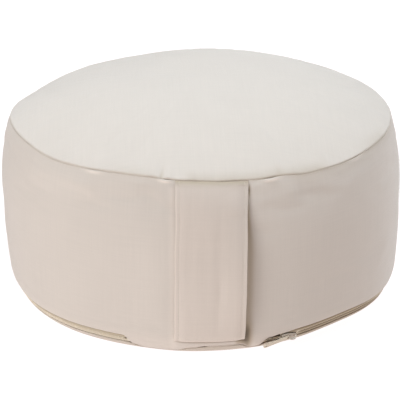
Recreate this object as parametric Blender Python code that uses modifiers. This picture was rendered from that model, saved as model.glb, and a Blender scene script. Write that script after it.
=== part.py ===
"""A round zafu meditation cushion: a filled cloth drum with a carry strap and a zip.

Metres, +Z up. The origin is the middle of the flat foot, on the floor. The strap is at -Y.
An azimuth is measured from -Y, the front, towards +X, and a profile is a list of (radius, height).
Every turned piece is a profile with a Screw modifier, and one function, settled(), then gives all
the pieces the same uneven lie, so that neighbours keep their distance.
"""

import math
from collections import namedtuple

import bmesh
import bpy
from mathutils import Matrix, Vector

COLLECTION = "zafu_meditation_cushion"

# Driving dimensions of the filled drum.
SEAM_RADIUS = 0.157
SEAM_HEIGHT = 0.1455
CROWN_RISE = 0.0298
CROWN_POWER = 2.8
BULGE_RADIUS = 0.165
BULGE_HEIGHT = 0.082
BULGE_POWER = 2.2
SHOULDER_RADIUS = 0.1631
SHOULDER_HEIGHT = 0.024
FOOT_RADIUS = 0.142

# Cloth and clearances.
CLOTH = 0.0012
GAP = 0.0003

# The ditch that the top seam draws in, and the top panel's rim, rolled down into it. Each point is its
# distance in from the seam's radius and down from the seam's height.
SeamPoint = namedtuple("SeamPoint", "inset drop")
DITCH_WIDTH = 0.0040
DITCH = (SeamPoint(0.0026, 0.0034), SeamPoint(0.0013, 0.0034), SeamPoint(0.0004, 0.0009))
SIDE_START_DROP = 0.0018
RIM_START_INSET = 0.0018
RIM = (SeamPoint(0.0010, 0.0006), SeamPoint(0.0014, 0.0020), SeamPoint(0.0024, 0.0018))

# Steps around the drum, and along each stretch of its profile.
STEPS = 80
STEP_ANGLE = 360.0 / STEPS
CROWN_STEPS = 9
CROWN_SPACING = 0.8
SIDE_STEPS = 13
SHOULDER_STEPS = 3
FOOT_STEPS = 4
BASE_RIM_STEPS = 5

# Angles on the rounded lower edge, 0 at the shoulder and 90 on the floor.
SIDE_FOLD_ANGLE = 21.5
BASE_EDGE_ANGLE = 41.5
UNDER_BASE_ANGLE = 43.0
FLOOR_ANGLE = 90.0

# The zip runs round the back from one end of the closing strip to the other.
ZIP_LEFT_STEP = -5
ZIP_RIGHT_STEP = 3
ZIP_RECESS = 0.0028
TAPE_WIDTH = 0.0012
TAPE_TOP = -0.0006
COIL_WIDTH = 0.0042
COIL_TOP = -0.0002
COIL_THICKNESS = 0.0019
STRIP_THICKNESS = 0.0016
STRIP_TOP = -0.0001

# The strap, and how far it stands off the widest part of the side at its left edge and right edge.
STRAP_WIDTH = 0.054
STRAP_THICKNESS = 0.0020
STRAP_LEAN = -0.0015
STRAP_TOP_DROP = 0.0016
STRAP_FOOT_ANGLE = 20.5
STANDOFF_LEFT = 0.0058
STANDOFF_RIGHT = 0.0084
STANDOFF_POWER = 2.6
STRAP_COLUMNS = 12
STRAP_ROWS = 30

# The slider and its pull.
SLIDER_AZIMUTH = 22.5
SLIDER_LENGTH = 0.0130
SLIDER_WIDTH = 0.0064
SLIDER_THICKNESS = 0.0012
SLIDER_NOSE_AT = -0.25 * SLIDER_LENGTH
SLIDER_TAIL_AT = 0.36 * SLIDER_LENGTH
SLIDER_TAIL_RADIUS = 0.30 * SLIDER_WIDTH
SLIDER_TAIL_TURN = 80.0
NOSE_STEPS = 10
TAIL_STEPS = 6
BRIDGE_HEIGHT = 0.0040
BRIDGE_RADIUS = 0.00055
BRIDGE_AT = 0.17 * SLIDER_LENGTH
BRIDGE_REACH = 0.25 * SLIDER_LENGTH
BRIDGE_SINK = 0.0002
BRIDGE_FLATNESS = 0.5
BRIDGE_STEPS = 8
PULL_LENGTH = 0.0240
PULL_WIDTH = 0.0046
PULL_NECK = 0.0038
PULL_THICKNESS = 0.0009
PULL_EYE = 0.0012
PULL_HOLE = 0.0009
PULL_DROP = 9.0
PULL_SWING_OUT = 4.0
PULL_END_STEPS = 8
PULL_EYE_POINTS = 12
PULL_HOLE_POINTS = 8

# How the filling makes the drum uneven. Each row acts around its azimuth, in degrees, and fades out
# over its spread. The other columns are in millimetres.
UNEVEN_COLUMNS = ("azimuth", "spread", "crown_up", "seam_up", "top_out", "waist_out", "foot_out", "foot_up")
UNEVEN_ROWS = (
    (-25.0, 14.0, 0.0, 1.9, 0.0, 0.0, 0.0, 0.0),
    (-17.0, 8.0, 0.0, 0.8, 0.0, 0.0, 0.0, 0.0),
    (-50.0, 8.0, 0.0, -0.9, 0.0, 0.0, 0.0, 0.0),
    (-63.0, 12.0, 0.0, 1.2, 0.0, 0.0, 0.0, 0.0),
    (14.0, 4.0, 0.0, -0.8, 0.0, 0.0, 0.0, 0.0),
    (19.0, 6.0, 0.0, 1.0, 0.0, 0.0, 0.0, 0.0),
    (27.0, 5.0, 0.0, -0.6, 0.0, 0.0, 0.0, 0.0),
    (37.0, 15.0, 0.0, -1.7, 0.0, 0.0, 0.0, 0.0),
    (-78.0, 13.0, 0.0, 2.2, 0.0, 0.0, 0.0, 0.0),
    (-93.0, 30.0, 0.0, 0.0, -0.5, 0.6, -4.1, 0.0),
    (85.0, 30.0, 0.0, 0.0, -1.4, 0.0, 2.5, 0.0),
    (-117.0, 20.0, -2.6, -5.2, -0.5, 0.0, 0.0, 0.0),
    (-148.0, 24.0, -3.8, 0.0, 0.0, 0.0, 0.0, 0.0),
    (130.0, 26.0, -0.8, 0.0, 0.0, 0.0, 0.0, 0.0),
    (-45.0, 20.0, 0.0, 0.0, 0.0, 0.0, 2.6, 0.0),
    (-8.0, 11.0, 0.0, 0.0, 0.0, 0.0, 1.4, 0.0),
    (40.0, 16.0, 0.0, 0.0, 0.0, 0.0, -1.0, 2.8),
    (57.0, 8.0, 0.0, 0.0, 0.0, 0.0, 0.9, 0.0),
    (80.0, 15.0, 0.0, 0.0, 0.0, 0.0, -1.7, 0.0),
)
MM = 0.001

# How each column fades: a height share counts from the floor to the seam and a reach share from the
# axis to the seam, and a fade starts at a radius and is full a width further out.
SEAM_HEIGHT_POWER = 6
SEAM_REACH_POWER = 4
CROWN_GAIN = 1.6
FOOT_POWER = 2
LIFT_POWER = 3
Fade = namedtuple("Fade", "start width")
FOOT_FADE = Fade(0.100, 0.040)
LIFT_FADE = Fade(0.135, 0.022)

WELD_DISTANCE = 0.00001
NEAR_AXIS = 1e-9
SHARP_ANGLE = 35.0

Finish = namedtuple("Finish", "colour roughness metallic")
CLOTH_FINISH = Finish((0.745, 0.680, 0.605), 0.90, 0.0)
STRAP_FINISH = Finish((0.720, 0.650, 0.570), 0.90, 0.0)
TAPE_FINISH = Finish((0.640, 0.560, 0.440), 0.85, 0.0)
COIL_FINISH = Finish((0.600, 0.510, 0.380), 0.50, 0.0)
METAL_FINISH = Finish((0.640, 0.580, 0.500), 0.35, 0.8)
PULL_FINISH = Finish((0.700, 0.630, 0.550), 0.40, 0.2)


def clamped(value):
    """The value held between 0 and 1."""
    return max(0.0, min(1.0, value))


def crown_height(radius):
    """Height of the top panel's outer face."""
    return SEAM_HEIGHT + CROWN_RISE * (1.0 - (radius / SEAM_RADIUS) ** CROWN_POWER)


def side_radius(height):
    """Outer radius of the drum's side at a height, from the floor to the top seam."""
    if height >= BULGE_HEIGHT:
        share = (SEAM_HEIGHT - height) / (SEAM_HEIGHT - BULGE_HEIGHT)
        return SEAM_RADIUS + (BULGE_RADIUS - SEAM_RADIUS) * (1.0 - (1.0 - share) ** BULGE_POWER)
    if height >= SHOULDER_HEIGHT:
        share = (BULGE_HEIGHT - height) / (BULGE_HEIGHT - SHOULDER_HEIGHT)
        return BULGE_RADIUS + (SHOULDER_RADIUS - BULGE_RADIUS) * share ** 2
    sine = 1.0 - height / SHOULDER_HEIGHT
    return FOOT_RADIUS + (SHOULDER_RADIUS - FOOT_RADIUS) * math.sqrt(max(0.0, 1.0 - sine ** 2))


def foot_point(angle, depth=0.0):
    """A point of the rounded lower edge, sunk below the outer face by a depth."""
    turn = math.radians(angle)
    reach = SHOULDER_RADIUS - FOOT_RADIUS
    point = Vector((FOOT_RADIUS + reach * math.cos(turn), SHOULDER_HEIGHT * (1.0 - math.sin(turn))))
    outward = Vector((SHOULDER_HEIGHT * math.cos(turn), -reach * math.sin(turn))).normalized()
    return tuple(point - outward * depth)


def foot_arc(first, last, steps, depth=0.0):
    """Points of the rounded lower edge from one angle to another."""
    return [foot_point(first + (last - first) * step / steps, depth) for step in range(steps + 1)]


def crown_arc(last_radius, steps, depth):
    """Points of the crown from the middle out to a radius."""
    rings = [last_radius * (step / steps) ** CROWN_SPACING for step in range(steps + 1)]
    return [(radius, crown_height(radius) - depth) for radius in rings]


def side_arc(first_height, last_height, steps):
    """Points of the side from one height down to another."""
    heights = [first_height + (last_height - first_height) * step / steps for step in range(steps + 1)]
    return [(side_radius(height), height) for height in heights]


def seam_points(offsets):
    """Profile points from their places beside the top seam."""
    return [(SEAM_RADIUS - offset.inset, SEAM_HEIGHT - offset.drop) for offset in offsets]


def faded(radius, fade):
    """How much of a fade a radius has reached, from 0 to 1."""
    return clamped((radius - fade.start) / fade.width)


def settled(point):
    """Where a point of the even drum lies once the filling has made it uneven."""
    radius = math.hypot(point.x, point.y)
    if radius < NEAR_AXIS:
        return point.copy()
    azimuth = math.degrees(math.atan2(point.x, -point.y))
    reach = clamped(radius / SEAM_RADIUS)
    rise = clamped(point.z / SEAM_HEIGHT)
    top_share = rise ** 2 * reach
    waist_share = 4.0 * rise * (1.0 - rise) * reach
    foot_share = (1.0 - rise) ** FOOT_POWER * faded(radius, FOOT_FADE)
    lift_share = (1.0 - rise) ** LIFT_POWER * faded(radius, LIFT_FADE)
    near_seam = reach ** SEAM_REACH_POWER
    seam_share = rise ** SEAM_HEIGHT_POWER * near_seam
    crown_share = rise ** SEAM_HEIGHT_POWER * CROWN_GAIN * reach * (1.0 - near_seam)
    outward = 0.0
    upward = 0.0
    for values in UNEVEN_ROWS:
        row = dict(zip(UNEVEN_COLUMNS, values))
        away = (azimuth - row["azimuth"] + 180.0) % 360.0 - 180.0
        weight = math.exp(-(away / row["spread"]) ** 2) * MM
        outward += weight * row["top_out"] * top_share
        outward += weight * row["waist_out"] * waist_share
        outward += weight * row["foot_out"] * foot_share
        upward += weight * (row["seam_up"] * seam_share + row["crown_up"] * crown_share)
        upward += weight * row["foot_up"] * lift_share
    scale = (radius + outward) / radius
    return Vector((point.x * scale, point.y * scale, point.z + upward))


def principled(name, finish):
    """A Principled material of one finish."""
    material = bpy.data.materials.new(name)
    material.use_nodes = True
    shader = material.node_tree.nodes["Principled BSDF"]
    shader.inputs["Base Color"].default_value = (*finish.colour, 1.0)
    shader.inputs["Roughness"].default_value = finish.roughness
    shader.inputs["Metallic"].default_value = finish.metallic
    material.diffuse_color = (*finish.colour, 1.0)
    return material


def add_object(name, mesh, material, collection):
    """Names a mesh's object, gives it its material and puts it in the collection."""
    node = bpy.data.objects.new(name, mesh)
    mesh.name = name
    mesh.materials.clear()
    mesh.materials.append(material)
    collection.objects.link(node)
    return node


def evaluated_mesh(node):
    """A mesh of the object with its modifiers applied. The object is removed."""
    bpy.context.view_layer.update()
    graph = bpy.context.evaluated_depsgraph_get()
    mesh = bpy.data.meshes.new_from_object(node.evaluated_get(graph))
    bpy.data.objects.remove(node)
    return mesh


def tidy_mesh(mesh, moved=None):
    """Welds the mesh, closes open ends, moves its points and points its faces outwards."""
    work = bmesh.new()
    work.from_mesh(mesh)
    bmesh.ops.remove_doubles(work, verts=work.verts, dist=WELD_DISTANCE)
    open_edges = [edge for edge in work.edges if edge.is_boundary]
    if open_edges:
        bmesh.ops.holes_fill(work, edges=open_edges, sides=0)
    if moved:
        for vertex in work.verts:
            vertex.co = moved(vertex.co)
    bmesh.ops.recalc_face_normals(work, faces=work.faces)
    if work.calc_volume(signed=True) < 0.0:
        bmesh.ops.reverse_faces(work, faces=work.faces)
    work.to_mesh(mesh)
    work.free()
    mesh.shade_smooth()
    mesh.set_sharp_from_angle(angle=math.radians(SHARP_ANGLE))
    return mesh


def turned(name, profile, material, collection, first_step=0, steps=STEPS, closed=False):
    """A profile turned about Z by a Screw modifier, then settled with the rest of the drum."""
    wire = bpy.data.meshes.new(name + "_profile")
    links = [(index, index + 1) for index in range(len(profile) - 1)]
    if closed:
        links.append((len(profile) - 1, 0))
    wire.from_pydata([(radius, 0.0, height) for radius, height in profile], links, [])
    node = bpy.data.objects.new(name + "_profile", wire)
    collection.objects.link(node)
    screw = node.modifiers.new("Turn", "SCREW")
    screw.axis = "Z"
    screw.angle = math.radians(steps * STEP_ANGLE)
    screw.steps = steps
    screw.render_steps = steps
    screw.use_merge_vertices = True
    screw.merge_threshold = WELD_DISTANCE
    start = Matrix.Rotation(math.radians(first_step * STEP_ANGLE - 90.0), 3, "Z")
    mesh = tidy_mesh(evaluated_mesh(node), lambda point: settled(start @ point))
    return add_object(name, mesh, material, collection)


def band(along, width, top, thickness):
    """A rectangle in the zip recess, counted along the lower edge from the side panel's fold."""
    middle_angle = (SIDE_FOLD_ANGLE + BASE_EDGE_ANGLE) / 2.0
    fold = Vector(foot_point(SIDE_FOLD_ANGLE))
    edge = Vector(foot_point(BASE_EDGE_ANGLE))
    run = (edge - fold).normalized()
    outward = Vector(foot_point(middle_angle)) - Vector(foot_point(middle_angle, 1.0))
    outward = (outward - run * outward.dot(run)).normalized()
    corners = ((along, top), (along + width, top), (along + width, top - thickness), (along, top - thickness))
    return [tuple(fold + run * across + outward * height) for across, height in corners]


def build_filled_side_panel(material, collection):
    """The filling and the side panel round it, as one solid."""
    under_cloth = CLOTH + GAP
    profile = crown_arc(SEAM_RADIUS - DITCH_WIDTH, CROWN_STEPS, under_cloth)
    profile.extend(seam_points(DITCH))
    profile.extend(side_arc(SEAM_HEIGHT - SIDE_START_DROP, SHOULDER_HEIGHT, SIDE_STEPS))
    profile.extend(foot_arc(0.0, SIDE_FOLD_ANGLE, SHOULDER_STEPS)[1:])
    profile.append(foot_point(SIDE_FOLD_ANGLE, ZIP_RECESS))
    profile.append(foot_point(BASE_EDGE_ANGLE, ZIP_RECESS))
    profile.extend(foot_arc(UNDER_BASE_ANGLE, FLOOR_ANGLE, FOOT_STEPS, under_cloth))
    profile.append((0.0, under_cloth))
    return turned("filled_side_panel", profile, material, collection)


def build_top_panel(material, collection):
    """The domed top panel, turned down at its rim into the seam."""
    profile = crown_arc(SEAM_RADIUS - RIM_START_INSET, CROWN_STEPS, 0.0)
    profile.extend(seam_points(RIM))
    profile.extend(reversed(crown_arc(SEAM_RADIUS - DITCH_WIDTH, CROWN_STEPS, CLOTH)))
    return turned("top_panel", profile, material, collection)


def build_base_panel(material, collection):
    """The base panel, flat on the floor and turned up at its rim to the zip."""
    profile = [(0.0, 0.0)]
    profile.extend(foot_arc(FLOOR_ANGLE, BASE_EDGE_ANGLE, BASE_RIM_STEPS))
    profile.extend(foot_arc(BASE_EDGE_ANGLE, FLOOR_ANGLE, BASE_RIM_STEPS, CLOTH))
    profile.append((0.0, CLOTH))
    return turned("base_panel", profile, material, collection)


def build_zip_run(collection, tape, coil):
    """The two tapes and the coil, from the left end round the back to the right end."""
    run = {"first_step": ZIP_RIGHT_STEP, "steps": STEPS - ZIP_RIGHT_STEP + ZIP_LEFT_STEP, "closed": True}
    upper = band(GAP, TAPE_WIDTH, TAPE_TOP, CLOTH)
    teeth = band(TAPE_WIDTH + 2.0 * GAP, COIL_WIDTH, COIL_TOP, COIL_THICKNESS)
    lower = band(TAPE_WIDTH + COIL_WIDTH + 3.0 * GAP, TAPE_WIDTH, TAPE_TOP, CLOTH)
    turned("zip_tape_upper", upper, tape, collection, **run)
    turned("zip_tape_lower", lower, tape, collection, **run)
    turned("zip_coil", teeth, coil, collection, **run)


def build_closing_strip(material, collection):
    """The strip of cloth across the front, in the same recess as the zip and clear of its ends."""
    width = 2.0 * TAPE_WIDTH + COIL_WIDTH + 2.0 * GAP
    section = band(GAP, width, STRIP_TOP, STRIP_THICKNESS)
    steps = ZIP_RIGHT_STEP - ZIP_LEFT_STEP
    node = turned("closing_strip", section, material, collection, ZIP_LEFT_STEP, steps, closed=True)
    clear = 1.0 - GAP / (math.radians(steps * STEP_ANGLE) * SHOULDER_RADIUS / 2.0)
    middle = math.radians((ZIP_LEFT_STEP + ZIP_RIGHT_STEP) * STEP_ANGLE / 2.0)
    for vertex in node.data.vertices:
        azimuth = math.atan2(vertex.co.x, -vertex.co.y)
        shift = Matrix.Rotation((middle - azimuth) * (1.0 - clear), 3, "Z")
        vertex.co = shift @ vertex.co
    return node


def strap_point(across, down):
    """The strap's inner face: across is -1 to 1 from left to right, down is 0 to 1 from top to bottom."""
    highest = SEAM_HEIGHT - STRAP_TOP_DROP
    lowest = foot_point(STRAP_FOOT_ANGLE)[1]
    height = highest + (lowest - highest) * down
    sideways = across * STRAP_WIDTH / 2.0 + STRAP_LEAN * (down - 0.5)
    radius = side_radius(height)
    lying = math.sqrt(radius ** 2 - sideways ** 2) + GAP
    standoff = STANDOFF_LEFT + (STANDOFF_RIGHT - STANDOFF_LEFT) * (across + 1.0) / 2.0
    share = 1.0 - abs(2.0 * down - 1.0) ** STANDOFF_POWER
    forward = lying + (BULGE_RADIUS + standoff - lying) * share
    return Vector((sideways, -forward, height))


def build_carry_strap(material, collection):
    """The doubled band of cloth: a grid bowed to its route, with its thickness outside."""
    work = bmesh.new()
    bmesh.ops.create_grid(work, x_segments=STRAP_COLUMNS, y_segments=STRAP_ROWS, size=1.0)
    for vertex in work.verts:
        vertex.co = settled(strap_point(vertex.co.x, (1.0 - vertex.co.y) / 2.0))
    bmesh.ops.recalc_face_normals(work, faces=work.faces)
    front = max(work.faces, key=lambda face: -face.calc_center_median().y)
    if front.normal.y > 0.0:
        bmesh.ops.reverse_faces(work, faces=work.faces)
    mesh = bpy.data.meshes.new("carry_strap")
    work.to_mesh(mesh)
    work.free()
    mesh.shade_smooth()
    node = add_object("carry_strap", mesh, material, collection)
    thicken = node.modifiers.new("Doubled cloth", "SOLIDIFY")
    thicken.thickness = STRAP_THICKNESS
    thicken.offset = 1.0
    thicken.use_even_offset = True
    return node


def flat_outline(name, outlines, thickness, collection):
    """A flat shape from closed outlines, filled and extruded: its mesh, welded."""
    curve = bpy.data.curves.new(name, "CURVE")
    curve.dimensions = "2D"
    curve.fill_mode = "BOTH"
    curve.extrude = thickness / 2.0
    for outline in outlines:
        spline = curve.splines.new("POLY")
        spline.points.add(len(outline) - 1)
        spline.use_cyclic_u = True
        for point, (x, y) in zip(spline.points, outline):
            point.co = (x, y, 0.0, 1.0)
    node = bpy.data.objects.new(name, curve)
    collection.objects.link(node)
    return tidy_mesh(evaluated_mesh(node))


def round_end(centre_x, radius, first, last, steps):
    """Points of an arc about (centre_x, 0) from one angle to another, in degrees."""
    angles = [math.radians(first + (last - first) * step / steps) for step in range(steps + 1)]
    return [(centre_x + radius * math.cos(angle), radius * math.sin(angle)) for angle in angles]


def ring(centre_x, radius, points):
    """Points of a whole circle about (centre_x, 0)."""
    return round_end(centre_x, radius, 0.0, 360.0 * (points - 1) / points, points - 1)


def build_zip_slider(station, material, collection):
    """The slider's plate, wide at its nose, with the bridge that holds the pull."""
    nose = round_end(SLIDER_NOSE_AT, SLIDER_WIDTH / 2.0, 90.0, 270.0, NOSE_STEPS)
    tail = round_end(SLIDER_TAIL_AT, SLIDER_TAIL_RADIUS, -SLIDER_TAIL_TURN, SLIDER_TAIL_TURN, TAIL_STEPS)
    mesh = flat_outline("zip_slider", [nose + tail], SLIDER_THICKNESS, collection)
    node = add_object("zip_slider", mesh, material, collection)
    node.parent = station
    node.location = (0.0, 0.0, SLIDER_THICKNESS / 2.0)

    arch = bpy.data.curves.new("bridge", "CURVE")
    arch.dimensions = "3D"
    arch.bevel_depth = BRIDGE_RADIUS
    arch.bevel_resolution = 1
    arch.use_fill_caps = True
    spline = arch.splines.new("POLY")
    spline.points.add(BRIDGE_STEPS)
    for step, point in enumerate(spline.points):
        turn = math.pi * step / BRIDGE_STEPS
        rise = BRIDGE_HEIGHT * math.sin(turn) ** BRIDGE_FLATNESS
        point.co = (BRIDGE_AT - BRIDGE_REACH * math.cos(turn), 0.0, rise - BRIDGE_SINK, 1.0)
    helper = bpy.data.objects.new("bridge", arch)
    collection.objects.link(helper)
    bridge_mesh = tidy_mesh(evaluated_mesh(helper))
    bridge = bpy.data.objects.new("bridge_cutter", bridge_mesh)
    cutters().objects.link(bridge)
    bridge.hide_render = True
    bridge.display_type = "WIRE"
    bridge.parent = station
    join = node.modifiers.new("Bridge", "BOOLEAN")
    join.operation = "UNION"
    join.object = bridge
    return node


def build_zip_pull(station, material, collection):
    """The pull tab: an eye round the bridge's leg at its neck and a small hole at its wide end."""
    half = PULL_WIDTH / 2.0
    neck = round_end(0.0, PULL_NECK / 2.0, 90.0, -90.0, PULL_END_STEPS)
    far_end = round_end(-PULL_LENGTH + half, half, 270.0, 90.0, PULL_END_STEPS)
    eye = ring(0.0, PULL_EYE, PULL_EYE_POINTS)
    hole = ring(-PULL_LENGTH + half, PULL_HOLE, PULL_HOLE_POINTS)
    mesh = flat_outline("zip_pull", [neck + far_end, eye, hole], PULL_THICKNESS, collection)
    node = add_object("zip_pull", mesh, material, collection)
    node.parent = station
    node.location = (BRIDGE_AT - BRIDGE_REACH, 0.0, SLIDER_THICKNESS + GAP + PULL_THICKNESS / 2.0)
    node.rotation_euler = (0.0, math.radians(PULL_SWING_OUT), math.radians(PULL_DROP))
    return node


def zip_station(collection):
    """An empty on the coil: X towards the zip's right, Y up across the zip, Z out of the cushion."""
    inner, outer = band(TAPE_WIDTH + 2.0 * GAP, COIL_WIDTH, COIL_TOP, COIL_THICKNESS)[:2]
    middle = (Vector(inner) + Vector(outer)) / 2.0
    up = (Vector(inner) - Vector(outer)).normalized()
    azimuth = math.radians(SLIDER_AZIMUTH)
    forward = Vector((math.sin(azimuth), -math.cos(azimuth), 0.0))
    x_axis = Vector((math.cos(azimuth), math.sin(azimuth), 0.0))
    y_axis = forward * up.x + Vector((0.0, 0.0, up.y))
    z_axis = x_axis.cross(y_axis)
    even = forward * middle.x + Vector((0.0, 0.0, middle.y))
    station = bpy.data.objects.new("zip_station", None)
    collection.objects.link(station)
    turn = Matrix((x_axis, y_axis, z_axis)).transposed().to_4x4()
    station.matrix_world = Matrix.Translation(settled(even) + z_axis * GAP) @ turn
    return station


def cutters():
    """The collection of helper shapes."""
    found = bpy.data.collections.get("cutters")
    if found is None:
        found = bpy.data.collections.new("cutters")
        bpy.context.scene.collection.children.link(found)
    return found


def main():
    for node in list(bpy.data.objects):
        bpy.data.objects.remove(node)
    collection = bpy.data.collections.new(COLLECTION)
    bpy.context.scene.collection.children.link(collection)

    build_filled_side_panel(principled("side_cloth", CLOTH_FINISH), collection)
    build_top_panel(principled("top_cloth", CLOTH_FINISH), collection)
    build_base_panel(principled("base_cloth", CLOTH_FINISH), collection)
    build_carry_strap(principled("strap_cloth", STRAP_FINISH), collection)
    build_closing_strip(principled("strip_cloth", CLOTH_FINISH), collection)
    tape = principled("zip_tape_cloth", TAPE_FINISH)
    build_zip_run(collection, tape, principled("zip_coil_nylon", COIL_FINISH))
    station = zip_station(collection)
    build_zip_slider(station, principled("slider_metal", METAL_FINISH), collection)
    build_zip_pull(station, principled("pull_enamel", PULL_FINISH), collection)


main()
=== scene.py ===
"""Looks of a round zafu meditation cushion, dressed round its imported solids.

Metres, +Z up, with the origin in the middle of the flat foot. The carry strap is at -Y. An azimuth is
counted in degrees from there towards +X, and a profile is an array of (radius, height).
"""
import logging
import math
from dataclasses import dataclass, field
from enum import Enum
from typing import ClassVar, Optional, Sequence, Union

import bmesh
import bpy
import numpy as np
from mathutils import Matrix, Vector


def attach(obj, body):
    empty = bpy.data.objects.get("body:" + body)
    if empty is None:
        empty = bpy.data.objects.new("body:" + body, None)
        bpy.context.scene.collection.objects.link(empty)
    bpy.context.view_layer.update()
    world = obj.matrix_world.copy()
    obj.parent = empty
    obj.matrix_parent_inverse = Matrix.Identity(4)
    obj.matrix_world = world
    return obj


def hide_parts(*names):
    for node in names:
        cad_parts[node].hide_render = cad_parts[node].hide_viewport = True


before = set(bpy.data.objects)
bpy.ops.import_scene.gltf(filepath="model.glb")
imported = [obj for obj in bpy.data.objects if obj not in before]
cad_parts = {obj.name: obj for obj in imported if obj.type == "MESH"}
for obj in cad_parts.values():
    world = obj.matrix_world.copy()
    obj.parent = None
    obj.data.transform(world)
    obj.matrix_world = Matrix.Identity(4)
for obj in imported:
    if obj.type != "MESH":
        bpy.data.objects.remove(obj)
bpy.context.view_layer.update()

LOG = logging.getLogger("zafu")
BODY = "root"
MM = 0.001
CLOTH = 1.2 * MM
GAP = 0.3 * MM
CLOTH_MAP = "cloth_map"
# The attribute that holds painted light and shade on the cloth: 0 none, 1 painted shade as in a seam and 2
# the near-black painted shade of an open recess. Below 0 it holds painted light, lighter than the cloth's
# colour.
PAINTED_SHADE = "painted_shade"

# Short names for the types that most signatures need.
Array = np.ndarray
Values = Union[float, Array]
Triple = tuple[float, float, float]
Colour = Triple
Piece = bpy.types.Object
Material = bpy.types.Material
Tree = bpy.types.NodeTree
Node = bpy.types.Node
Socket = bpy.types.NodeSocket

# The near-black painted where the painted shade goes past 1: painted shade in an open recess.
DEEP_SHADE: Colour = (0.060, 0.038, 0.020)


# ---- the shape that every piece follows


@dataclass(frozen=True)
class Settling:
    """How the filling shifts the drum round one azimuth.

    Angles are in degrees and shifts in millimetres. Each shift fades out over the spread.
    """

    azimuth: float
    spread: float
    crown_up: float = 0.0
    seam_up: float = 0.0
    top_out: float = 0.0
    waist_out: float = 0.0
    foot_out: float = 0.0
    foot_up: float = 0.0

    def weight(self, azimuths: Array) -> Array:
        """How strongly the row acts at each azimuth, in metres for a millimetre."""
        return MM * np.exp(-((around(azimuths, self.azimuth) / self.spread) ** 2))


SETTLINGS = (
    Settling(-25.0, 14.0, seam_up=1.9),
    Settling(-17.0, 8.0, seam_up=0.8),
    Settling(-50.0, 8.0, seam_up=-0.9),
    Settling(-63.0, 12.0, seam_up=1.2),
    Settling(14.0, 4.0, seam_up=-0.8),
    Settling(19.0, 6.0, seam_up=1.0),
    Settling(27.0, 5.0, seam_up=-0.6),
    Settling(37.0, 15.0, seam_up=-1.7),
    Settling(-78.0, 13.0, seam_up=2.2),
    Settling(-93.0, 30.0, top_out=-0.5, waist_out=0.6, foot_out=-4.1),
    Settling(85.0, 30.0, top_out=-1.4, foot_out=2.5),
    Settling(-117.0, 20.0, crown_up=-2.6, seam_up=-5.2, top_out=-0.5),
    Settling(-148.0, 24.0, crown_up=-3.8),
    Settling(130.0, 26.0, crown_up=-0.8),
    Settling(-45.0, 20.0, foot_out=2.6),
    Settling(-8.0, 11.0, foot_out=1.4),
    Settling(40.0, 16.0, foot_out=-1.0, foot_up=2.8),
    Settling(57.0, 8.0, foot_out=0.9),
    Settling(80.0, 15.0, foot_out=-1.7),
)


def around(azimuths: Array, centre: float = 0.0) -> Array:
    """The signed turn from a centre to each azimuth, from -180 to 180 degrees."""
    return (np.asarray(azimuths) - centre + 180.0) % 360.0 - 180.0


def all_round(fine: float, coarse: float, reach: float) -> Array:
    """Azimuths from 0 to 360 degrees, with fine steps within a reach of the front."""
    front = np.arange(0.0, reach, fine)
    rest = np.linspace(reach, 360.0 - reach, round((360.0 - 2.0 * reach) / coarse), endpoint=False)
    return np.concatenate((front, rest, 360.0 - reach + front))


def smooth(value: Array) -> Array:
    """An even step from 0 to 1 with level ends."""
    held = np.clip(value, 0.0, 1.0)
    return held * held * (3.0 - 2.0 * held)


def unit(vectors: Array) -> Array:
    """The vectors, each at a length of 1."""
    return vectors / np.linalg.norm(vectors, axis=-1, keepdims=True)


@dataclass(frozen=True)
class Spot:
    """A soft spot on one measure, 1 in its middle.

    Args:
        middle: Where it is strongest.
        reach: How far from there it has faded to about a third.
        power: How squarely it ends: 2 for a bell, more for a flat top.
    """

    middle: float
    reach: float
    power: float = 2.0

    def at(self, values: Array) -> Array:
        """How strong the spot is at each value."""
        return np.exp(-(np.abs((values - self.middle) / self.reach) ** self.power))


@dataclass(frozen=True)
class Span:
    """A stretch of one measure that fades in and out.

    Args:
        start: Where it starts to fade in.
        fade_in: How long that takes.
        end: Where it has faded out.
        fade_out: How long that takes.
    """

    start: float
    fade_in: float
    end: float
    fade_out: float

    def at(self, values: Array) -> Array:
        """How strong the stretch is at each value, from 0 to 1."""
        return smooth((values - self.start) / self.fade_in) * smooth((self.end - values) / self.fade_out)


@dataclass(frozen=True)
class EdgeLine:
    """A line along the rounded lower edge that rises and falls round the drum.

    Args:
        stops: Azimuths in turn, each with the line's angle there: 0 at the shoulder and 90 on the floor.
    """

    stops: tuple[tuple[float, float], ...]

    def at(self, azimuths: Array) -> Array:
        """The line's angle at each azimuth, eased from stop to stop."""
        places, angles = np.array(((-180.0, self.stops[0][1]), *self.stops, (180.0, self.stops[-1][1]))).T
        turned = around(azimuths)
        index = np.clip(np.searchsorted(places, turned, side="right") - 1, 0, len(places) - 2)
        share = (turned - places[index]) / (places[index + 1] - places[index])
        return angles[index] + (angles[index + 1] - angles[index]) * smooth(share)


@dataclass(frozen=True)
class Wander:
    """A small seeded wave round the drum, such as a hand-guided seam has.

    Args:
        seed: Draws the waves' sizes and phases.
        height: The wave's usual height.
        waves: The fewest and the most waves in a turn.
    """

    seed: int
    height: float
    waves: tuple[int, int] = (5, 34)

    def at(self, azimuths: Array) -> Array:
        """The wave's value at each azimuth."""
        draw = np.random.RandomState(self.seed)
        turns = np.radians(azimuths)
        total = np.zeros_like(turns, dtype=float)
        for count in range(*self.waves):
            size, phase = draw.normal(), draw.uniform(0.0, 2.0 * math.pi)
            total += size / math.sqrt(count) * np.sin(count * turns + phase)
        return self.height * total


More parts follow.
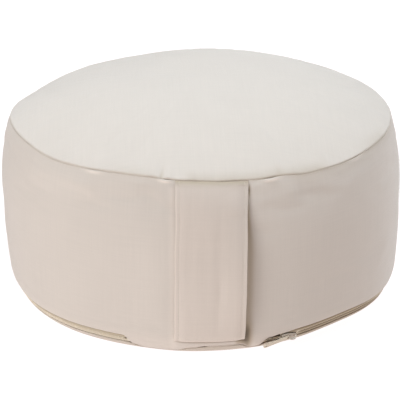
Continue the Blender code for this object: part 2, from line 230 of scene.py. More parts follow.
@dataclass(frozen=True)
class Drum:
    """The filled drum: crown, bulged side and rounded lower edge, and its uneven lie."""

    seam_radius: float = 0.157
    seam_height: float = 0.1455
    crown_rise: float = 0.0298
    crown_power: float = 2.8
    bulge_radius: float = 0.165
    bulge_height: float = 0.082
    bulge_power: float = 2.2
    shoulder_radius: float = 0.1631
    shoulder_height: float = 0.024
    foot_radius: float = 0.142
    hem_angle: float = 21.5
    base_edge_angle: float = 41.5
    seam_wander: Wander = Wander(seed=11, height=0.10 * MM)
    edge_wander: Wander = Wander(seed=23, height=0.12 * MM)
    # How closely shifts keep to the seam, in height and in radius, and to the lower edge's radius.
    seam_power: float = 6.0
    rim_power: float = 4.0
    edge_power: float = 8.0
    crown_gain: float = 1.6
    # The radius from which the foot's shifts fade in, and over how far.
    foot_fade: tuple[float, float] = (0.100, 0.040)
    lift_fade: tuple[float, float] = (0.135, 0.022)

    def crown_height(self, radii: Values) -> Array:
        """Height of the top panel's outer face."""
        return self.seam_height + self.crown_rise * (1.0 - (radii / self.seam_radius) ** self.crown_power)

    def side_radius(self, heights: Values) -> Array:
        """Outer radius of the side at each height, from the floor to the top seam."""
        heights = np.asarray(heights, dtype=float)
        rise = (self.seam_height - heights) / (self.seam_height - self.bulge_height)
        swell = 1.0 - np.clip(1.0 - rise, 0.0, None) ** self.bulge_power
        upper = self.seam_radius + (self.bulge_radius - self.seam_radius) * swell
        fall = (self.bulge_height - heights) / (self.bulge_height - self.shoulder_height)
        lower = self.bulge_radius + (self.shoulder_radius - self.bulge_radius) * fall**2
        sine = np.clip(1.0 - heights / self.shoulder_height, 0.0, 1.0)
        foot = self.foot_radius + (self.shoulder_radius - self.foot_radius) * np.sqrt(1.0 - sine**2)
        above = np.where(heights >= self.bulge_height, upper, lower)
        return np.where(heights >= self.shoulder_height, above, foot)

    def edge(self, angles: Array, depths: Values = 0.0) -> Array:
        """Profile points on the rounded lower edge.

        Args:
            angles: 0 at the shoulder and 90 on the floor, in degrees.
            depths: How far each point is sunk below the outer face.

        Returns:
            An array of (radius, height).
        """
        turns = np.radians(np.atleast_1d(np.asarray(angles, dtype=float)))
        reach = self.shoulder_radius - self.foot_radius
        points = np.stack(
            (self.foot_radius + reach * np.cos(turns), self.shoulder_height * (1.0 - np.sin(turns))), axis=-1
        )
        outward = np.stack((self.shoulder_height * np.cos(turns), -reach * np.sin(turns)), axis=-1)
        return points - unit(outward) * np.reshape(depths, (-1, 1))

    def band(self, along: Sequence[float], heights: Sequence[float]) -> Array:
        """Profile points in the zip's recess.

        Args:
            along: Distances from the side panel's hem towards the base panel's edge.
            heights: Heights over the straight line between the two.

        Returns:
            An array of (radius, height).
        """
        hem, rim = self.edge(self.hem_angle)[0], self.edge(self.base_edge_angle)[0]
        run = unit(rim - hem)
        outward = np.array((-run[1], run[0])) * np.sign(-run[1])
        return hem + np.outer(along, run) + np.outer(heights, outward)

    def settle(self, points: Array) -> Array:
        """Where points of the even drum lie once the filling has made it uneven."""
        x, y, z = np.moveaxis(points, -1, 0)
        radius = np.hypot(x, y)
        azimuth = np.degrees(np.arctan2(x, -y))
        reach = np.clip(radius / self.seam_radius, 0.0, 1.0)
        rise = np.clip(z / self.seam_height, 0.0, 1.0)
        fall = 1.0 - rise
        foot_in = np.clip((radius - self.foot_fade[0]) / self.foot_fade[1], 0.0, 1.0)
        lift_in = np.clip((radius - self.lift_fade[0]) / self.lift_fade[1], 0.0, 1.0)
        top, waist, foot = rise**2 * reach, 4.0 * rise * fall * reach, fall**2 * foot_in
        seam = rise**self.seam_power * reach**self.rim_power
        crown = self.crown_gain * rise**self.seam_power * reach * (1.0 - reach**self.rim_power)
        lift = fall**3 * lift_in
        edge = Spot(self.shoulder_height / 2.0, self.shoulder_height / 2.0).at(z) * reach**self.edge_power
        outward = self.edge_wander.at(azimuth) * edge
        upward = self.seam_wander.at(azimuth) * seam
        for row in SETTLINGS:
            weight = row.weight(azimuth)
            outward += weight * (row.top_out * top + row.waist_out * waist + row.foot_out * foot)
            upward += weight * (row.seam_up * seam + row.crown_up * crown + row.foot_up * lift)
        scale = 1.0 + outward / np.maximum(radius, 1e-9)
        return np.stack((x * scale, y * scale, z + upward), axis=-1)

    def turned(
        self, profile: Array, azimuths: Array, outward: Values = 0.0, upward: Values = 0.0
    ) -> Array:
        """A profile set round the drum and settled with it.

        Args:
            profile: (rows, 2) points, or (rows, columns, 2) for a section that changes on its way.
            azimuths: Where each column stands.
            outward: Shift of each point from the axis, before the drum settles.
            upward: Shift of each point in height.

        Returns:
            (rows, columns, 3) points.
        """
        if profile.ndim == 2:
            profile = profile[:, None, :]
        return self.settle(spun(profile[..., 0] + outward, profile[..., 1] + upward, azimuths))


def spun(radii: Array, heights: Array, azimuths: Array) -> Array:
    """Points at these radii and heights, set round the drum's axis."""
    radii, heights, turns = np.broadcast_arrays(radii, heights, np.radians(azimuths)[None, :])
    return np.stack((radii * np.sin(turns), -radii * np.cos(turns), heights), axis=-1)


DRUM = Drum()
# How far behind a panel's outer face the filling starts.
UNDER_CLOTH = CLOTH + GAP
# At the front the side's folded edge covers the closing strip, and it opens a slit there.
HEM_LINE = EdgeLine((
    (-90.0, 21.5), (-60.0, 20.2), (-24.2, 20.0), (-21.7, 42.0), (-18.3, 57.0), (-11.0, 57.0), (-5.0, 38.0),
    (0.0, 33.5), (9.0, 32.5), (11.8, 51.0), (13.6, 50.0), (16.2, 26.0), (20.0, 21.5), (26.0, 18.0),
    (40.0, 18.0), (60.0, 20.0), (75.0, 21.5),
))
RIM_LINE = EdgeLine((
    (-80.0, 41.5), (-60.0, 40.7), (-24.0, 40.7), (-18.5, 62.0), (-10.5, 61.0), (-5.5, 43.5), (-1.0, 38.0),
    (8.5, 37.5), (11.6, 56.0), (13.8, 55.0), (17.0, 41.5),
))
# How far along the lower edge's arc a folded edge turns, in degrees.
FOLD_TURN = 1.5


def folded_under(angle: float, turn: float, roll: float) -> Array:
    """Profile points of an edge of cloth that is folded under.

    Args:
        angle: Where the edge lies on the lower edge's arc.
        turn: How far before the edge the fold starts, or with a minus sign how far beyond it.
        roll: The fold's half thickness.

    Returns:
        An array of (radius, height).
    """
    spin = np.linspace(0.0, math.pi, 8)[1:]
    return DRUM.edge(angle - turn + turn * np.sin(spin), roll * (1.0 - np.cos(spin)))


# ---- meshes


def path_lengths(points: Array) -> Array:
    """Length along a line of points, up to each of them."""
    steps = np.linalg.norm(np.diff(points, axis=0), axis=-1)
    return np.concatenate(([0.0], np.cumsum(steps)))


def wrapped_map(loops: Array, around_first: bool) -> Array:
    """A flat map of a tube of points, in metres.

    Args:
        loops: (rows, columns, 3) points.
        around_first: True where the map's first axis runs round the loops, False where along them.

    Returns:
        (rows, columns + 1, 2) map places.
    """
    closed = np.concatenate((loops, loops[:, :1]), axis=1)
    middle_row, middle_column = closed[len(closed) // 2], closed[:, closed.shape[1] // 4]
    across, along = path_lengths(middle_row), path_lengths(middle_column)
    grid = np.stack(np.meshgrid(across, along), axis=-1)
    return grid if around_first else grid[..., ::-1]


def tube_mesh(
    name: str, loops: Array, cloth_map: Array,
    poles: Optional[tuple[Array, Array]] = None, painted_shade: Optional[Array] = None,
) -> Piece:
    """One closed mesh from a tube of points.

    Args:
        name: The piece's name.
        loops: (rows, columns, 3) points. The columns close round.
        cloth_map: (rows, columns + 1, 2) places on the flat cloth, in metres.
        poles: A point that closes each end. Without them each end is one flat face.
        painted_shade: The painted light and shade of each point, as PAINTED_SHADE says.

    Returns:
        The piece, smooth, with its faces pointing out.
    """
    rows, columns = loops.shape[:2]
    row, column = (index.ravel() for index in np.meshgrid(range(rows - 1), range(columns), indexing="ij"))
    following = (column + 1) % columns
    base, upper = row * columns, (row + 1) * columns
    faces = np.stack((base + column, base + following, upper + following, upper + column), axis=-1).tolist()
    corners = ((row, column), (row, column + 1), (row + 1, column + 1), (row + 1, column))
    places = [np.stack([cloth_map[r, c] for r, c in corners], axis=1).reshape(-1, 2)]
    points = loops.reshape(-1, 3)
    last = (rows - 1) * columns
    if poles is None:
        faces.append(list(range(columns)))
        faces.append([last + index for index in range(columns)])
        places.extend((cloth_map[0, :-1], cloth_map[-1, :-1]))
    else:
        ring = range(columns)
        for pole, start, line in ((0, 0, cloth_map[0]), (1, last, cloth_map[-1])):
            tip = len(points) + pole
            faces.extend([tip, start + index, start + (index + 1) % columns] for index in ring)
            middle = np.repeat(line.mean(axis=0)[None], columns, axis=0)
            places.append(np.stack((middle, line[:-1], line[1:]), axis=1).reshape(-1, 2))
        points = np.concatenate((points, np.asarray(poles, dtype=float)))
    mesh = bpy.data.meshes.new(name)
    mesh.from_pydata(points.tolist(), [], faces)
    mesh.uv_layers.new(name=CLOTH_MAP).data.foreach_set("uv", np.concatenate(places).ravel())
    # Each point's painted light and shade.
    depths = np.zeros(len(points)) if painted_shade is None else np.resize(painted_shade.ravel(), len(points))
    mesh.attributes.new(PAINTED_SHADE, "FLOAT", "POINT").data.foreach_set("value", depths)
    return finished(name, mesh)


def new_object(name: str, data: bpy.types.ID) -> Piece:
    """Places an object of this mesh, lamp or camera in the scene."""
    placed = bpy.data.objects.new(name, data)
    bpy.context.scene.collection.objects.link(placed)
    return placed


def finished(name: str, mesh: bpy.types.Mesh) -> Piece:
    """The object of a closed mesh, welded, smooth and with its faces pointing out."""
    work = bmesh.new()
    work.from_mesh(mesh)
    bmesh.ops.recalc_face_normals(work, faces=work.faces)
    if work.calc_volume(signed=True) < 0.0:
        bmesh.ops.reverse_faces(work, faces=work.faces)
    work.to_mesh(mesh)
    work.free()
    mesh.shade_smooth()
    return new_object(name, mesh)


def capsule(sides: int, rings: int) -> tuple[Array, list[list[int]]]:
    """A small closed bead along X, one unit long and one across.

    Args:
        sides: Faces round it.
        rings: Rings of points between its two ends.

    Returns:
        Its points and its faces.
    """
    points = [(-0.5, 0.0, 0.0), (0.5, 0.0, 0.0)]
    for ring in range(rings):
        share = (ring + 0.5) / rings * 2.0 - 1.0
        width = 0.5 * (1.0 - abs(share) ** 4.0) ** 0.5
        for side in range(sides):
            turn = 2.0 * math.pi * side / sides
            points.append((share * 0.5, width * math.cos(turn), width * math.sin(turn)))
    faces = []
    for side in range(sides):
        after = (side + 1) % sides
        faces.append([0, 2 + after, 2 + side])
        faces.append([1, 2 + (rings - 1) * sides + side, 2 + (rings - 1) * sides + after])
        for ring in range(rings - 1):
            low, high = 2 + ring * sides, 2 + (ring + 1) * sides
            faces.append([low + side, low + after, high + after, high + side])
    return np.array(points), faces


def many(name: str, places: Sequence[Array]) -> Piece:
    """Many small beads as one mesh.

    Args:
        name: The piece's name.
        places: For each bead its middle and its three half-turned axes, scaled, as a 4 by 3 array.

    Returns:
        The piece.
    """
    shape, faces = capsule(sides=6, rings=4)
    frames = np.asarray(places)
    points = frames[:, None, 0] + np.einsum("pk,nkd->npd", shape, frames[:, 1:])
    count = len(shape)
    every = [[corner + count * index for corner in face] for index in range(len(frames)) for face in faces]
    mesh = bpy.data.meshes.new(name)
    mesh.from_pydata(points.reshape(-1, 3).tolist(), [], every)
    return finished(name, mesh)


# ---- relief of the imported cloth


@dataclass(frozen=True)
class Crease:
    """A soft trough or ridge on the side, with its sizes in millimetres.

    Args:
        azimuth: Its middle, in degrees.
        drop: Its middle's distance below the top seam.
        length: Its whole length.
        width: Its half width.
        slant: Its turn from upright, in degrees, top leaning to the right.
        rise: How far it stands out, or with a minus sign how deep it lies.
    """

    azimuth: float
    drop: float
    length: float
    width: float
    slant: float
    rise: float

    def at(self, azimuths: Array, drops: Array) -> Array:
        """How far the cloth is moved out at each place."""
        x = np.radians(around(azimuths, self.azimuth)) * DRUM.bulge_radius
        y = self.drop * MM - drops
        turn = math.radians(self.slant)
        along = y * math.cos(turn) + x * math.sin(turn)
        across = x * math.cos(turn) - y * math.sin(turn)
        ends = np.exp(-((2.0 * along / (self.length * MM)) ** 4))
        return self.rise * MM * ends * np.exp(-((across / (self.width * MM)) ** 2))


@dataclass(frozen=True)
class Pucker:
    """A small gather at the top seam that fades out away from it, in millimetres.

    Args:
        azimuth: Its middle, in degrees.
        width: Its half width along the seam.
        length: How far it runs from the seam.
        rise: How far it stands out, or with a minus sign how deep it lies.
    """

    azimuth: float
    width: float
    length: float
    rise: float

    def at(self, azimuths: Array, away: Array) -> Array:
        """How far the cloth is moved out at each place, by its distance from the seam."""
        x = np.radians(around(azimuths, self.azimuth)) * DRUM.seam_radius
        along = (x / (self.width * MM)) ** 2
        return self.rise * MM * np.exp(-along - (away / (self.length * MM)) ** 2)


def seeded_puckers(seed: int, count: int, rise: float) -> list[Pucker]:
    """Uneven small gathers all round a seam.

    Args:
        seed: Draws their places and sizes.
        count: How many there are.
        rise: The largest one's height, in millimetres.

    Returns:
        The puckers, as often troughs as ridges.
    """
    draw = np.random.RandomState(seed)
    found = []
    for index in range(count):
        azimuth = (index + draw.uniform(0.1, 0.9)) * 360.0 / count
        size = draw.uniform(0.3, 1.0) * (1.0 if draw.uniform() < 0.5 else -1.0)
        found.append(Pucker(azimuth, draw.uniform(2.2, 4.5), draw.uniform(5.0, 15.0), rise * size))
    return found


@dataclass
class PackedFilling:
    """The drum's cloth swelled by its filling in a cloth simulation.

    The simulated drum is thrown away. What is kept is how far the cloth has moved at each place of a
    grid, less the even swelling of its ring, so that the drum keeps its fitted outline.
    """

    columns: int = 208
    foot_rings: Sequence[float] = (0.25, 0.5, 0.75)
    edge_rows: int = 6
    side_rows: int = 28
    crown_rows: int = 20
    slack: float = 2.0 * MM
    unevenness: float = 0.05 * MM
    spare_cloth: float = 0.012
    pressure: float = 4.0
    mass: float = 0.3
    stretch_stiffness: float = 15.0
    shear_stiffness: float = 5.0
    bending_stiffness: float = 0.4
    frames: int = 20
    cap: float = 3.0 * MM
    keep: float = 0.55
    crown_middle: float = 30.0 * MM
    crown_edge: float = 8.0 * MM
    side: Array = field(init=False)
    crown: Array = field(init=False)

    def __post_init__(self) -> None:
        self.side = np.zeros((self.side_rows + 1, self.columns))
        self.crown = np.zeros((self.crown_rows, self.columns))
        self._simulate()

    def _profile(self) -> Array:
        """The slack drum, from the middle of the foot up and over to the middle of the crown."""
        foot = np.array([(DRUM.foot_radius * share, 0.0) for share in self.foot_rings])
        edge = DRUM.edge(np.linspace(90.0, 0.0, self.edge_rows + 1))[:-1]
        heights = np.linspace(DRUM.shoulder_height, DRUM.seam_height, self.side_rows + 1)
        bow = np.sin(np.linspace(0.0, math.pi, self.side_rows + 1))
        side = np.stack((DRUM.side_radius(heights) - self.slack * bow, heights), axis=-1)
        radii = DRUM.seam_radius * np.arange(self.crown_rows, 0, -1) / (self.crown_rows + 1.0)
        sag = self.slack * (1.0 - radii / DRUM.seam_radius)
        crown = np.stack((radii, DRUM.crown_height(radii) - sag), axis=-1)
        return np.concatenate((foot, edge, side, crown))

    def _cloth(self, drum: Piece, pinned: list[int]) -> None:
        """Makes the slack drum a cloth that is pressed out from inside and held at its sewn points."""
        drum.vertex_groups.new(name="sewn").add(pinned, 1.0, "REPLACE")
        settings = drum.modifiers.new("Cloth", "CLOTH").settings
        settings.quality = 6
        settings.mass = self.mass
        settings.tension_stiffness = settings.compression_stiffness = self.stretch_stiffness
        settings.shear_stiffness = self.shear_stiffness
        settings.bending_stiffness = self.bending_stiffness
        settings.use_pressure = True
        settings.uniform_pressure_force = self.pressure
        settings.shrink_min = -self.spare_cloth
        settings.vertex_group_mass = "sewn"
        settings.effector_weights.gravity = 0.0

    def _simulate(self) -> None:
        """Swells the slack drum and keeps how far it moved."""
        profile = self._profile()
        radius = profile[:, :1]
        start = spun(radius, profile[:, 1:], np.arange(self.columns) * 360.0 / self.columns)
        jitter = np.random.RandomState(5).normal(size=start.shape[:2]) * self.unevenness
        start *= (1.0 + jitter / np.maximum(radius, 0.02))[..., None]
        top = np.array((0.0, 0.0, DRUM.crown_height(0.0) - self.slack))
        flat = np.zeros((len(profile), self.columns + 1, 2))
        drum = tube_mesh("simulated_drum", start, flat, poles=(np.zeros(3), top))
        first = len(self.foot_rings) + self.edge_rows
        sewn_rows = (*range(first + 1), first + self.side_rows)
        pinned = [row * self.columns + column for row in sewn_rows for column in range(self.columns)]
        self._cloth(drum, [*pinned, len(profile) * self.columns])
        scene = bpy.context.scene
        for step in range(1, self.frames + 1):
            scene.frame_set(step)
        swelled = drum.evaluated_get(bpy.context.evaluated_depsgraph_get()).to_mesh()
        ends = np.empty(len(swelled.vertices) * 3)
        swelled.vertices.foreach_get("co", ends)
        ends = ends[: start.size].reshape(start.shape)
        scene.frame_set(1)
        bpy.data.objects.remove(drum)
        out = np.hypot(ends[..., 0], ends[..., 1]) - np.hypot(start[..., 0], start[..., 1])
        up = ends[..., 2] - start[..., 2]
        self.side = self._relief(out[first : first + self.side_rows + 1])
        self.crown = self._relief(up[first + self.side_rows + 1 :])
        most = tuple(np.abs(moved).max() / MM for moved in (self.side, self.crown))
        LOG.info("the filling moves the side by up to %.2f mm and the crown by up to %.2f mm", *most)

    def _relief(self, moved: Array) -> Array:
        """The moves less each ring's own mean, softly capped."""
        uneven = moved - moved.mean(axis=1, keepdims=True)
        return self.keep * self.cap * np.tanh(uneven / self.cap)

    def on_side(self, azimuths: Array, heights: Array) -> Array:
        """How far out the side has moved, at every height and azimuth."""
        span = DRUM.seam_height - DRUM.shoulder_height
        rows = (heights - DRUM.shoulder_height) / span * self.side_rows
        return read_grid(self.side, rows, azimuths / 360.0 * self.columns)

    def on_crown(self, azimuths: Array, radii: Array) -> Array:
        """How far up the crown has moved, at every radius and azimuth."""
        rows = self.crown_rows - radii / DRUM.seam_radius * (self.crown_rows + 1.0)
        share = smooth(radii / self.crown_middle) * smooth((DRUM.seam_radius - radii) / self.crown_edge)
        return share[:, None] * read_grid(self.crown, rows, azimuths / 360.0 * self.columns)


def read_grid(values: Array, rows: Array, columns: Array) -> Array:
    """Reads a grid between its points with a smooth curve. The columns wrap round.

    Args:
        values: The grid.
        rows: Row places, held inside the grid.
        columns: Column places.

    Returns:
        The values, a row for each row place and a column for each column place.
    """

    def weights(share: Array) -> list[Array]:
        """The four points' weights of a Catmull-Rom curve."""
        return [
            -0.5 * share + share**2 - 0.5 * share**3,
            1.0 - 2.5 * share**2 + 1.5 * share**3,
            0.5 * share + 2.0 * share**2 - 1.5 * share**3,
            -0.5 * share**2 + 0.5 * share**3,
        ]

    held = np.clip(rows, 0.0, len(values) - 1.0)
    row, column = np.floor(held).astype(int), np.floor(columns).astype(int)
    down = [values[np.clip(row + shift, 0, len(values) - 1)] for shift in (-1, 0, 1, 2)]
    lines = sum(weight[:, None] * line for weight, line in zip(weights(held - row), down))
    sideways = [lines[:, (column + shift) % values.shape[1]] for shift in (-1, 0, 1, 2)]
    return sum(weight[None, :] * line for weight, line in zip(weights(columns - column), sideways))


# ---- finishes


class Weave(Enum):
    """How a cloth's threads cross."""

    CANVAS = "canvas"
    TAPE = "tape"


class Nodes:
    """Adds and links the nodes of one shader tree."""

    def __init__(self, tree: Tree) -> None:
        """Works on this tree."""
        self.tree = tree

    def add(self, kind: str, *values: object, **settings: object) -> Node:
        """Adds a node.

        Args:
            kind: The node's type, without ShaderNode.
            values: What each input gets in turn: a socket to link, a value, or None to leave it.
            settings: The node's own properties.

        Returns:
            The node.
        """
        node = self.tree.nodes.new("ShaderNode" + kind)
        for key, value in settings.items():
            setattr(node, key, value)
        for socket, value in zip(node.inputs, values):
            self.feed(socket, value)
        return node

    def feed(self, socket: Socket, value: object) -> None:
        """Links a socket to the value, or sets it, unless the value is None."""
        if isinstance(value, Socket):
            self.tree.links.new(value, socket)
        elif value is not None:
            socket.default_value = value

    def feed_all(self, node: Node, **values: object) -> Node:
        """Feeds a node's inputs by name, with _ for a space, and returns the node."""
        for label, value in values.items():
            self.feed(node.inputs[label.replace("_", " ")], value)
        return node

    def sum_of(self, operation: str, *values: object) -> Socket:
        """The result of a Math node."""
        return self.add("Math", *values, operation=operation).outputs[0]

    def share_of(self, value: object, middle: float, strength: object) -> Socket:
        """How far a value is over its middle, times a strength."""
        return self.sum_of("MULTIPLY", self.sum_of("SUBTRACT", value, middle), strength)

    def vector_of(self, operation: str, *values: object) -> Socket:
        """The result of a Vector Math node."""
        return self.add("VectorMath", *values, operation=operation).outputs[0]

    def scaled(self, vector: object, factor: object) -> Socket:
        """A vector or a colour times one number."""
        return self.feed_all(self.add("VectorMath", vector, operation="SCALE"), Scale=factor).outputs[0]

    def colour_mix(self, factor: object, first: object, second: object) -> Socket:
        """A colour between two others, by a factor that is held between 0 and 1."""
        node = self.add("Mix", data_type="RGBA", clamp_factor=True)
        given = {"Factor": factor, "A": first, "B": second}
        for socket in node.inputs:
            if socket.enabled and socket.name in given:
                self.feed(socket, given[socket.name])
        return next(socket for socket in node.outputs if socket.enabled)

    def noise(self, place: object, stretch: Triple) -> Socket:
        """A noise value about 0.5, with so many spots a metre along each axis."""
        painted_light = self.vector_of("MULTIPLY", place, stretch)
        return self.add("TexNoise", painted_light, None, 1.0, 2.0).outputs["Fac"]

    def bump(self, height: object, strength: float, distance: float) -> Socket:
        """A normal from a height, at a strength and a distance in metres."""
        return self.feed_all(self.add("Bump"), Strength=strength, Distance=distance, Height=height).outputs[0]


def new_group(
    name: str, inputs: dict[str, str], outputs: dict[str, str]
) -> tuple[Nodes, dict[str, Socket], Node]:
    """An empty shader node group.

    Args:
        name: The group's name.
        inputs: Each input's name and kind: Float, Vector or Color.
        outputs: Each output's name and kind.

    Returns:
        Its nodes, its inputs' sockets by name, and its output node.
    """
    tree = bpy.data.node_groups.new(name, "ShaderNodeTree")
    for in_out, sockets in (("INPUT", inputs), ("OUTPUT", outputs)):
        for label, kind in sockets.items():
            tree.interface.new_socket(label, in_out=in_out, socket_type="NodeSocket" + kind)
    nodes = Nodes(tree)
    given = tree.nodes.new("NodeGroupInput").outputs
    return nodes, {label: given[label] for label in inputs}, tree.nodes.new("NodeGroupOutput")


# The weave: spots of stray a metre, how far threads stray in threads, how round a thread is, and its
# height where it passes under and how much more it has where it passes over.
STRAY_SPOTS = 260.0
STRAY = 0.7
THREAD_ROUNDNESS = 0.6
UNDER_HEIGHT = 0.55
OVER_HEIGHT = 0.45
# The yarn's streaks and patches, in spots a metre along and across.
YARN_ALONG = 22.0
YARN_ACROSS = 900.0
PATCHES = 28.0
# The tone: how much patches lighten it, how much painted light lightens it where the painted shade is
# below 0, the weave's middle height, and how rough it is for its yarn.
PATCH_TONE = 0.035
PAINTED_LIGHT_TONE = -0.5
WEAVE_MIDDLE = 0.6
ROUGHER_YARN = 0.12
ROUGHNESS = 0.84


def weave_group() -> Tree:
    """A plain weave: warp threads and weft threads that pass over each other in turn."""
    inputs = {"Cloth": "Vector", "Pitch": "Float"}
    nodes, given, result = new_group("plain_weave", inputs, {"Height": "Float"})
    strayed = nodes.add("TexNoise", given["Cloth"], None, STRAY_SPOTS, 1.0).outputs["Color"]
    centred = nodes.vector_of("ADD", strayed, (-0.5, -0.5, -0.5))
    stray = nodes.vector_of("MULTIPLY", centred, (STRAY, STRAY, 0.0))
    threads = nodes.scaled(given["Cloth"], nodes.sum_of("DIVIDE", 1.0, given["Pitch"]))
    parts = nodes.add("SeparateXYZ", nodes.vector_of("ADD", threads, stray)).outputs
    arches, cells = [], []
    for part in (parts["X"], parts["Y"]):
        share = nodes.sum_of("FRACT", part)
        rest = nodes.sum_of("SUBTRACT", 1.0, share)
        arches.append(nodes.sum_of("MULTIPLY", nodes.sum_of("MULTIPLY", share, rest), 4.0))
        cells.append(nodes.sum_of("FLOOR", part))
    over = nodes.sum_of("FLOORED_MODULO", nodes.sum_of("ADD", *cells), 2.0)
    heights = []
    for first, second in (arches, arches[::-1]):
        bend = nodes.sum_of("MULTIPLY_ADD", second, OVER_HEIGHT, UNDER_HEIGHT)
        heights.append(nodes.sum_of("MULTIPLY", nodes.sum_of("POWER", first, THREAD_ROUNDNESS), bend))
    nodes.feed_all(result, Height=nodes.add("Mix", over, None, *heights).outputs[0])
    return nodes.tree


def yarn_group() -> Tree:
    """Uneven yarn: thicker and thinner threads as fine streaks both ways, and soft broad patches."""
    nodes, given, result = new_group(
        "uneven_yarn", {"Cloth": "Vector"}, {"Streak": "Float", "Patch": "Float"}
    )
    weft = nodes.noise(given["Cloth"], (YARN_ALONG, YARN_ACROSS, 1.0))
    warp = nodes.noise(given["Cloth"], (YARN_ACROSS, YARN_ALONG, 1.0))
    streak = nodes.sum_of("MULTIPLY_ADD", weft, 0.5, nodes.sum_of("MULTIPLY", warp, 0.5))
    nodes.feed_all(result, Streak=streak, Patch=nodes.noise(given["Cloth"], (PATCHES, PATCHES, 1.0)))
    return nodes.tree


def tone_group() -> Tree:
    """The cloth's colour and roughness from its yarn, its weave, and its painted light and shade."""
    nodes, given, result = new_group(
        "cloth_tone",
        {"Colour": "Color", "Tucked Colour": "Color", "Streak": "Float", "Patch": "Float", "Height": "Float",
         "Tuck": "Float", "Streaks": "Float", "Weave": "Float"},
        {"Colour": "Color", "Roughness": "Float"},
    )
    streak = nodes.share_of(given["Streak"], 0.5, given["Streaks"])
    patch = nodes.share_of(given["Patch"], 0.5, PATCH_TONE)
    # Painted light and shade of the weave: high threads are painted lighter and low ones darker.
    weave = nodes.share_of(given["Height"], WEAVE_MIDDLE, given["Weave"])
    # Painted light: below 0 the painted shade makes the colour lighter.
    painted_light = nodes.sum_of("MULTIPLY", nodes.sum_of("MINIMUM", given["Tuck"], 0.0), PAINTED_LIGHT_TONE)
    uneven = nodes.sum_of("ADD", nodes.sum_of("ADD", streak, patch), nodes.sum_of("ADD", weave, painted_light))
    plain = nodes.scaled(given["Colour"], nodes.sum_of("ADD", uneven, 1.0))
    # Painted shade: the colour is mixed towards the shade colour, and past 1 towards the near-black.
    shaded_colour = nodes.colour_mix(given["Tuck"], plain, given["Tucked Colour"])
    deeper = nodes.sum_of("SUBTRACT", given["Tuck"], 1.0)
    rough = nodes.sum_of("MULTIPLY_ADD", given["Streak"], ROUGHER_YARN, ROUGHNESS)
    nodes.feed_all(result, Colour=nodes.colour_mix(deeper, shaded_colour, (*DEEP_SHADE, 1.0)), Roughness=rough)
    return nodes.tree


def wear_group() -> Tree:
    """Small rubbed spots, most on edges."""
    inputs = {"Place": "Vector", "Edge": "Float", "Fineness": "Float"}
    nodes, given, result = new_group("rubbed_edges", inputs, {"Worn": "Float", "Grain": "Float"})
    grain = nodes.add("TexNoise", given["Place"], None, given["Fineness"], 3.0).outputs["Fac"]
    spots = nodes.sum_of("ADD", nodes.share_of(given["Edge"], 0.53, 9.0), nodes.share_of(grain, 0.6, 3.0))
    nodes.feed_all(result, Worn=nodes.add("Clamp", spots).outputs[0], Grain=grain)
    return nodes.tree


@dataclass
class EffectShop:
    """The shared node groups, each built once."""

    weave: Tree = field(default_factory=weave_group)
    yarn: Tree = field(default_factory=yarn_group)
    tone: Tree = field(default_factory=tone_group)
    wear: Tree = field(default_factory=wear_group)


def empty_material(name: str) -> tuple[Material, Nodes, Node]:
    """A new material, its nodes and its Principled shader."""
    material = bpy.data.materials.new(name)
    material.use_nodes = True
    nodes = Nodes(material.node_tree)
    return material, nodes, material.node_tree.nodes["Principled BSDF"]


def use_group(nodes: Nodes, tree: Tree, **values: object) -> Node:
    """Places a node group and feeds its inputs by name, with _ for a space."""
    node = nodes.tree.nodes.new("ShaderNodeGroup")
    node.node_tree = tree
    return nodes.feed_all(node, **values)


@dataclass(frozen=True)
class ClothFinish:
    """A woven cotton cloth.

    Args:
        name: The material's name.
        colour: Its open face, as linear red, green and blue.
        shaded_colour: Its colour painted where it lies in shade, deep in a seam.
        weave: How its threads cross.
        pitch: The distance from thread to thread.
        relief: How high the threads stand.
        streaks: How strongly single threads differ.
        sheen: The soft light of its fuzz at a low angle.
        fuzz_roughness: How widely the fuzz spreads that light.
        gloss: How much light the face itself mirrors.
        weave_shading: How much lighter its high threads are painted and darker its low ones, as painted light
            and shade.
    """

    name: str
    colour: Colour = (0.702, 0.601, 0.521)
    # Painted shade colour: how the cloth looks in a seam's shade.
    shaded_colour: Colour = (0.504, 0.396, 0.293)
    weave: Weave = Weave.CANVAS
    pitch: float = 0.62 * MM
    relief: float = 0.09 * MM
    streaks: float = 0.11
    sheen: float = 0.28
    fuzz_roughness: float = 0.45
    gloss: float = 0.25
    weave_shading: float = 0.05

    def material(self, shop: EffectShop) -> Material:
        """Builds the material from the shared effects."""
        material, nodes, shader = empty_material(self.name)
        flat = nodes.add("UVMap", uv_map=CLOTH_MAP).outputs[0]
        cloth = flat if self.weave is Weave.CANVAS else nodes.vector_of("MULTIPLY", flat, (0.5, 1.0, 1.0))
        painted_shade = nodes.add("Attribute", attribute_name=PAINTED_SHADE).outputs["Fac"]
        weave = use_group(nodes, shop.weave, Cloth=cloth, Pitch=self.pitch)
        yarn = use_group(nodes, shop.yarn, Cloth=flat)
        tone = use_group(
            nodes, shop.tone, Colour=(*self.colour, 1.0), Tucked_Colour=(*self.shaded_colour, 1.0), Tuck=painted_shade,
            Streak=yarn.outputs["Streak"], Patch=yarn.outputs["Patch"], Height=weave.outputs["Height"],
            Streaks=self.streaks, Weave=self.weave_shading,
        )
        threads = nodes.sum_of("MULTIPLY_ADD", yarn.outputs["Streak"], 0.8, weave.outputs["Height"])
        nodes.feed_all(
            shader, Base_Color=tone.outputs["Colour"], Roughness=tone.outputs["Roughness"],
            Normal=nodes.bump(threads, 0.7, self.relief), Sheen_Weight=self.sheen,
            Sheen_Roughness=self.fuzz_roughness, Specular_IOR_Level=self.gloss,
        )
        return material


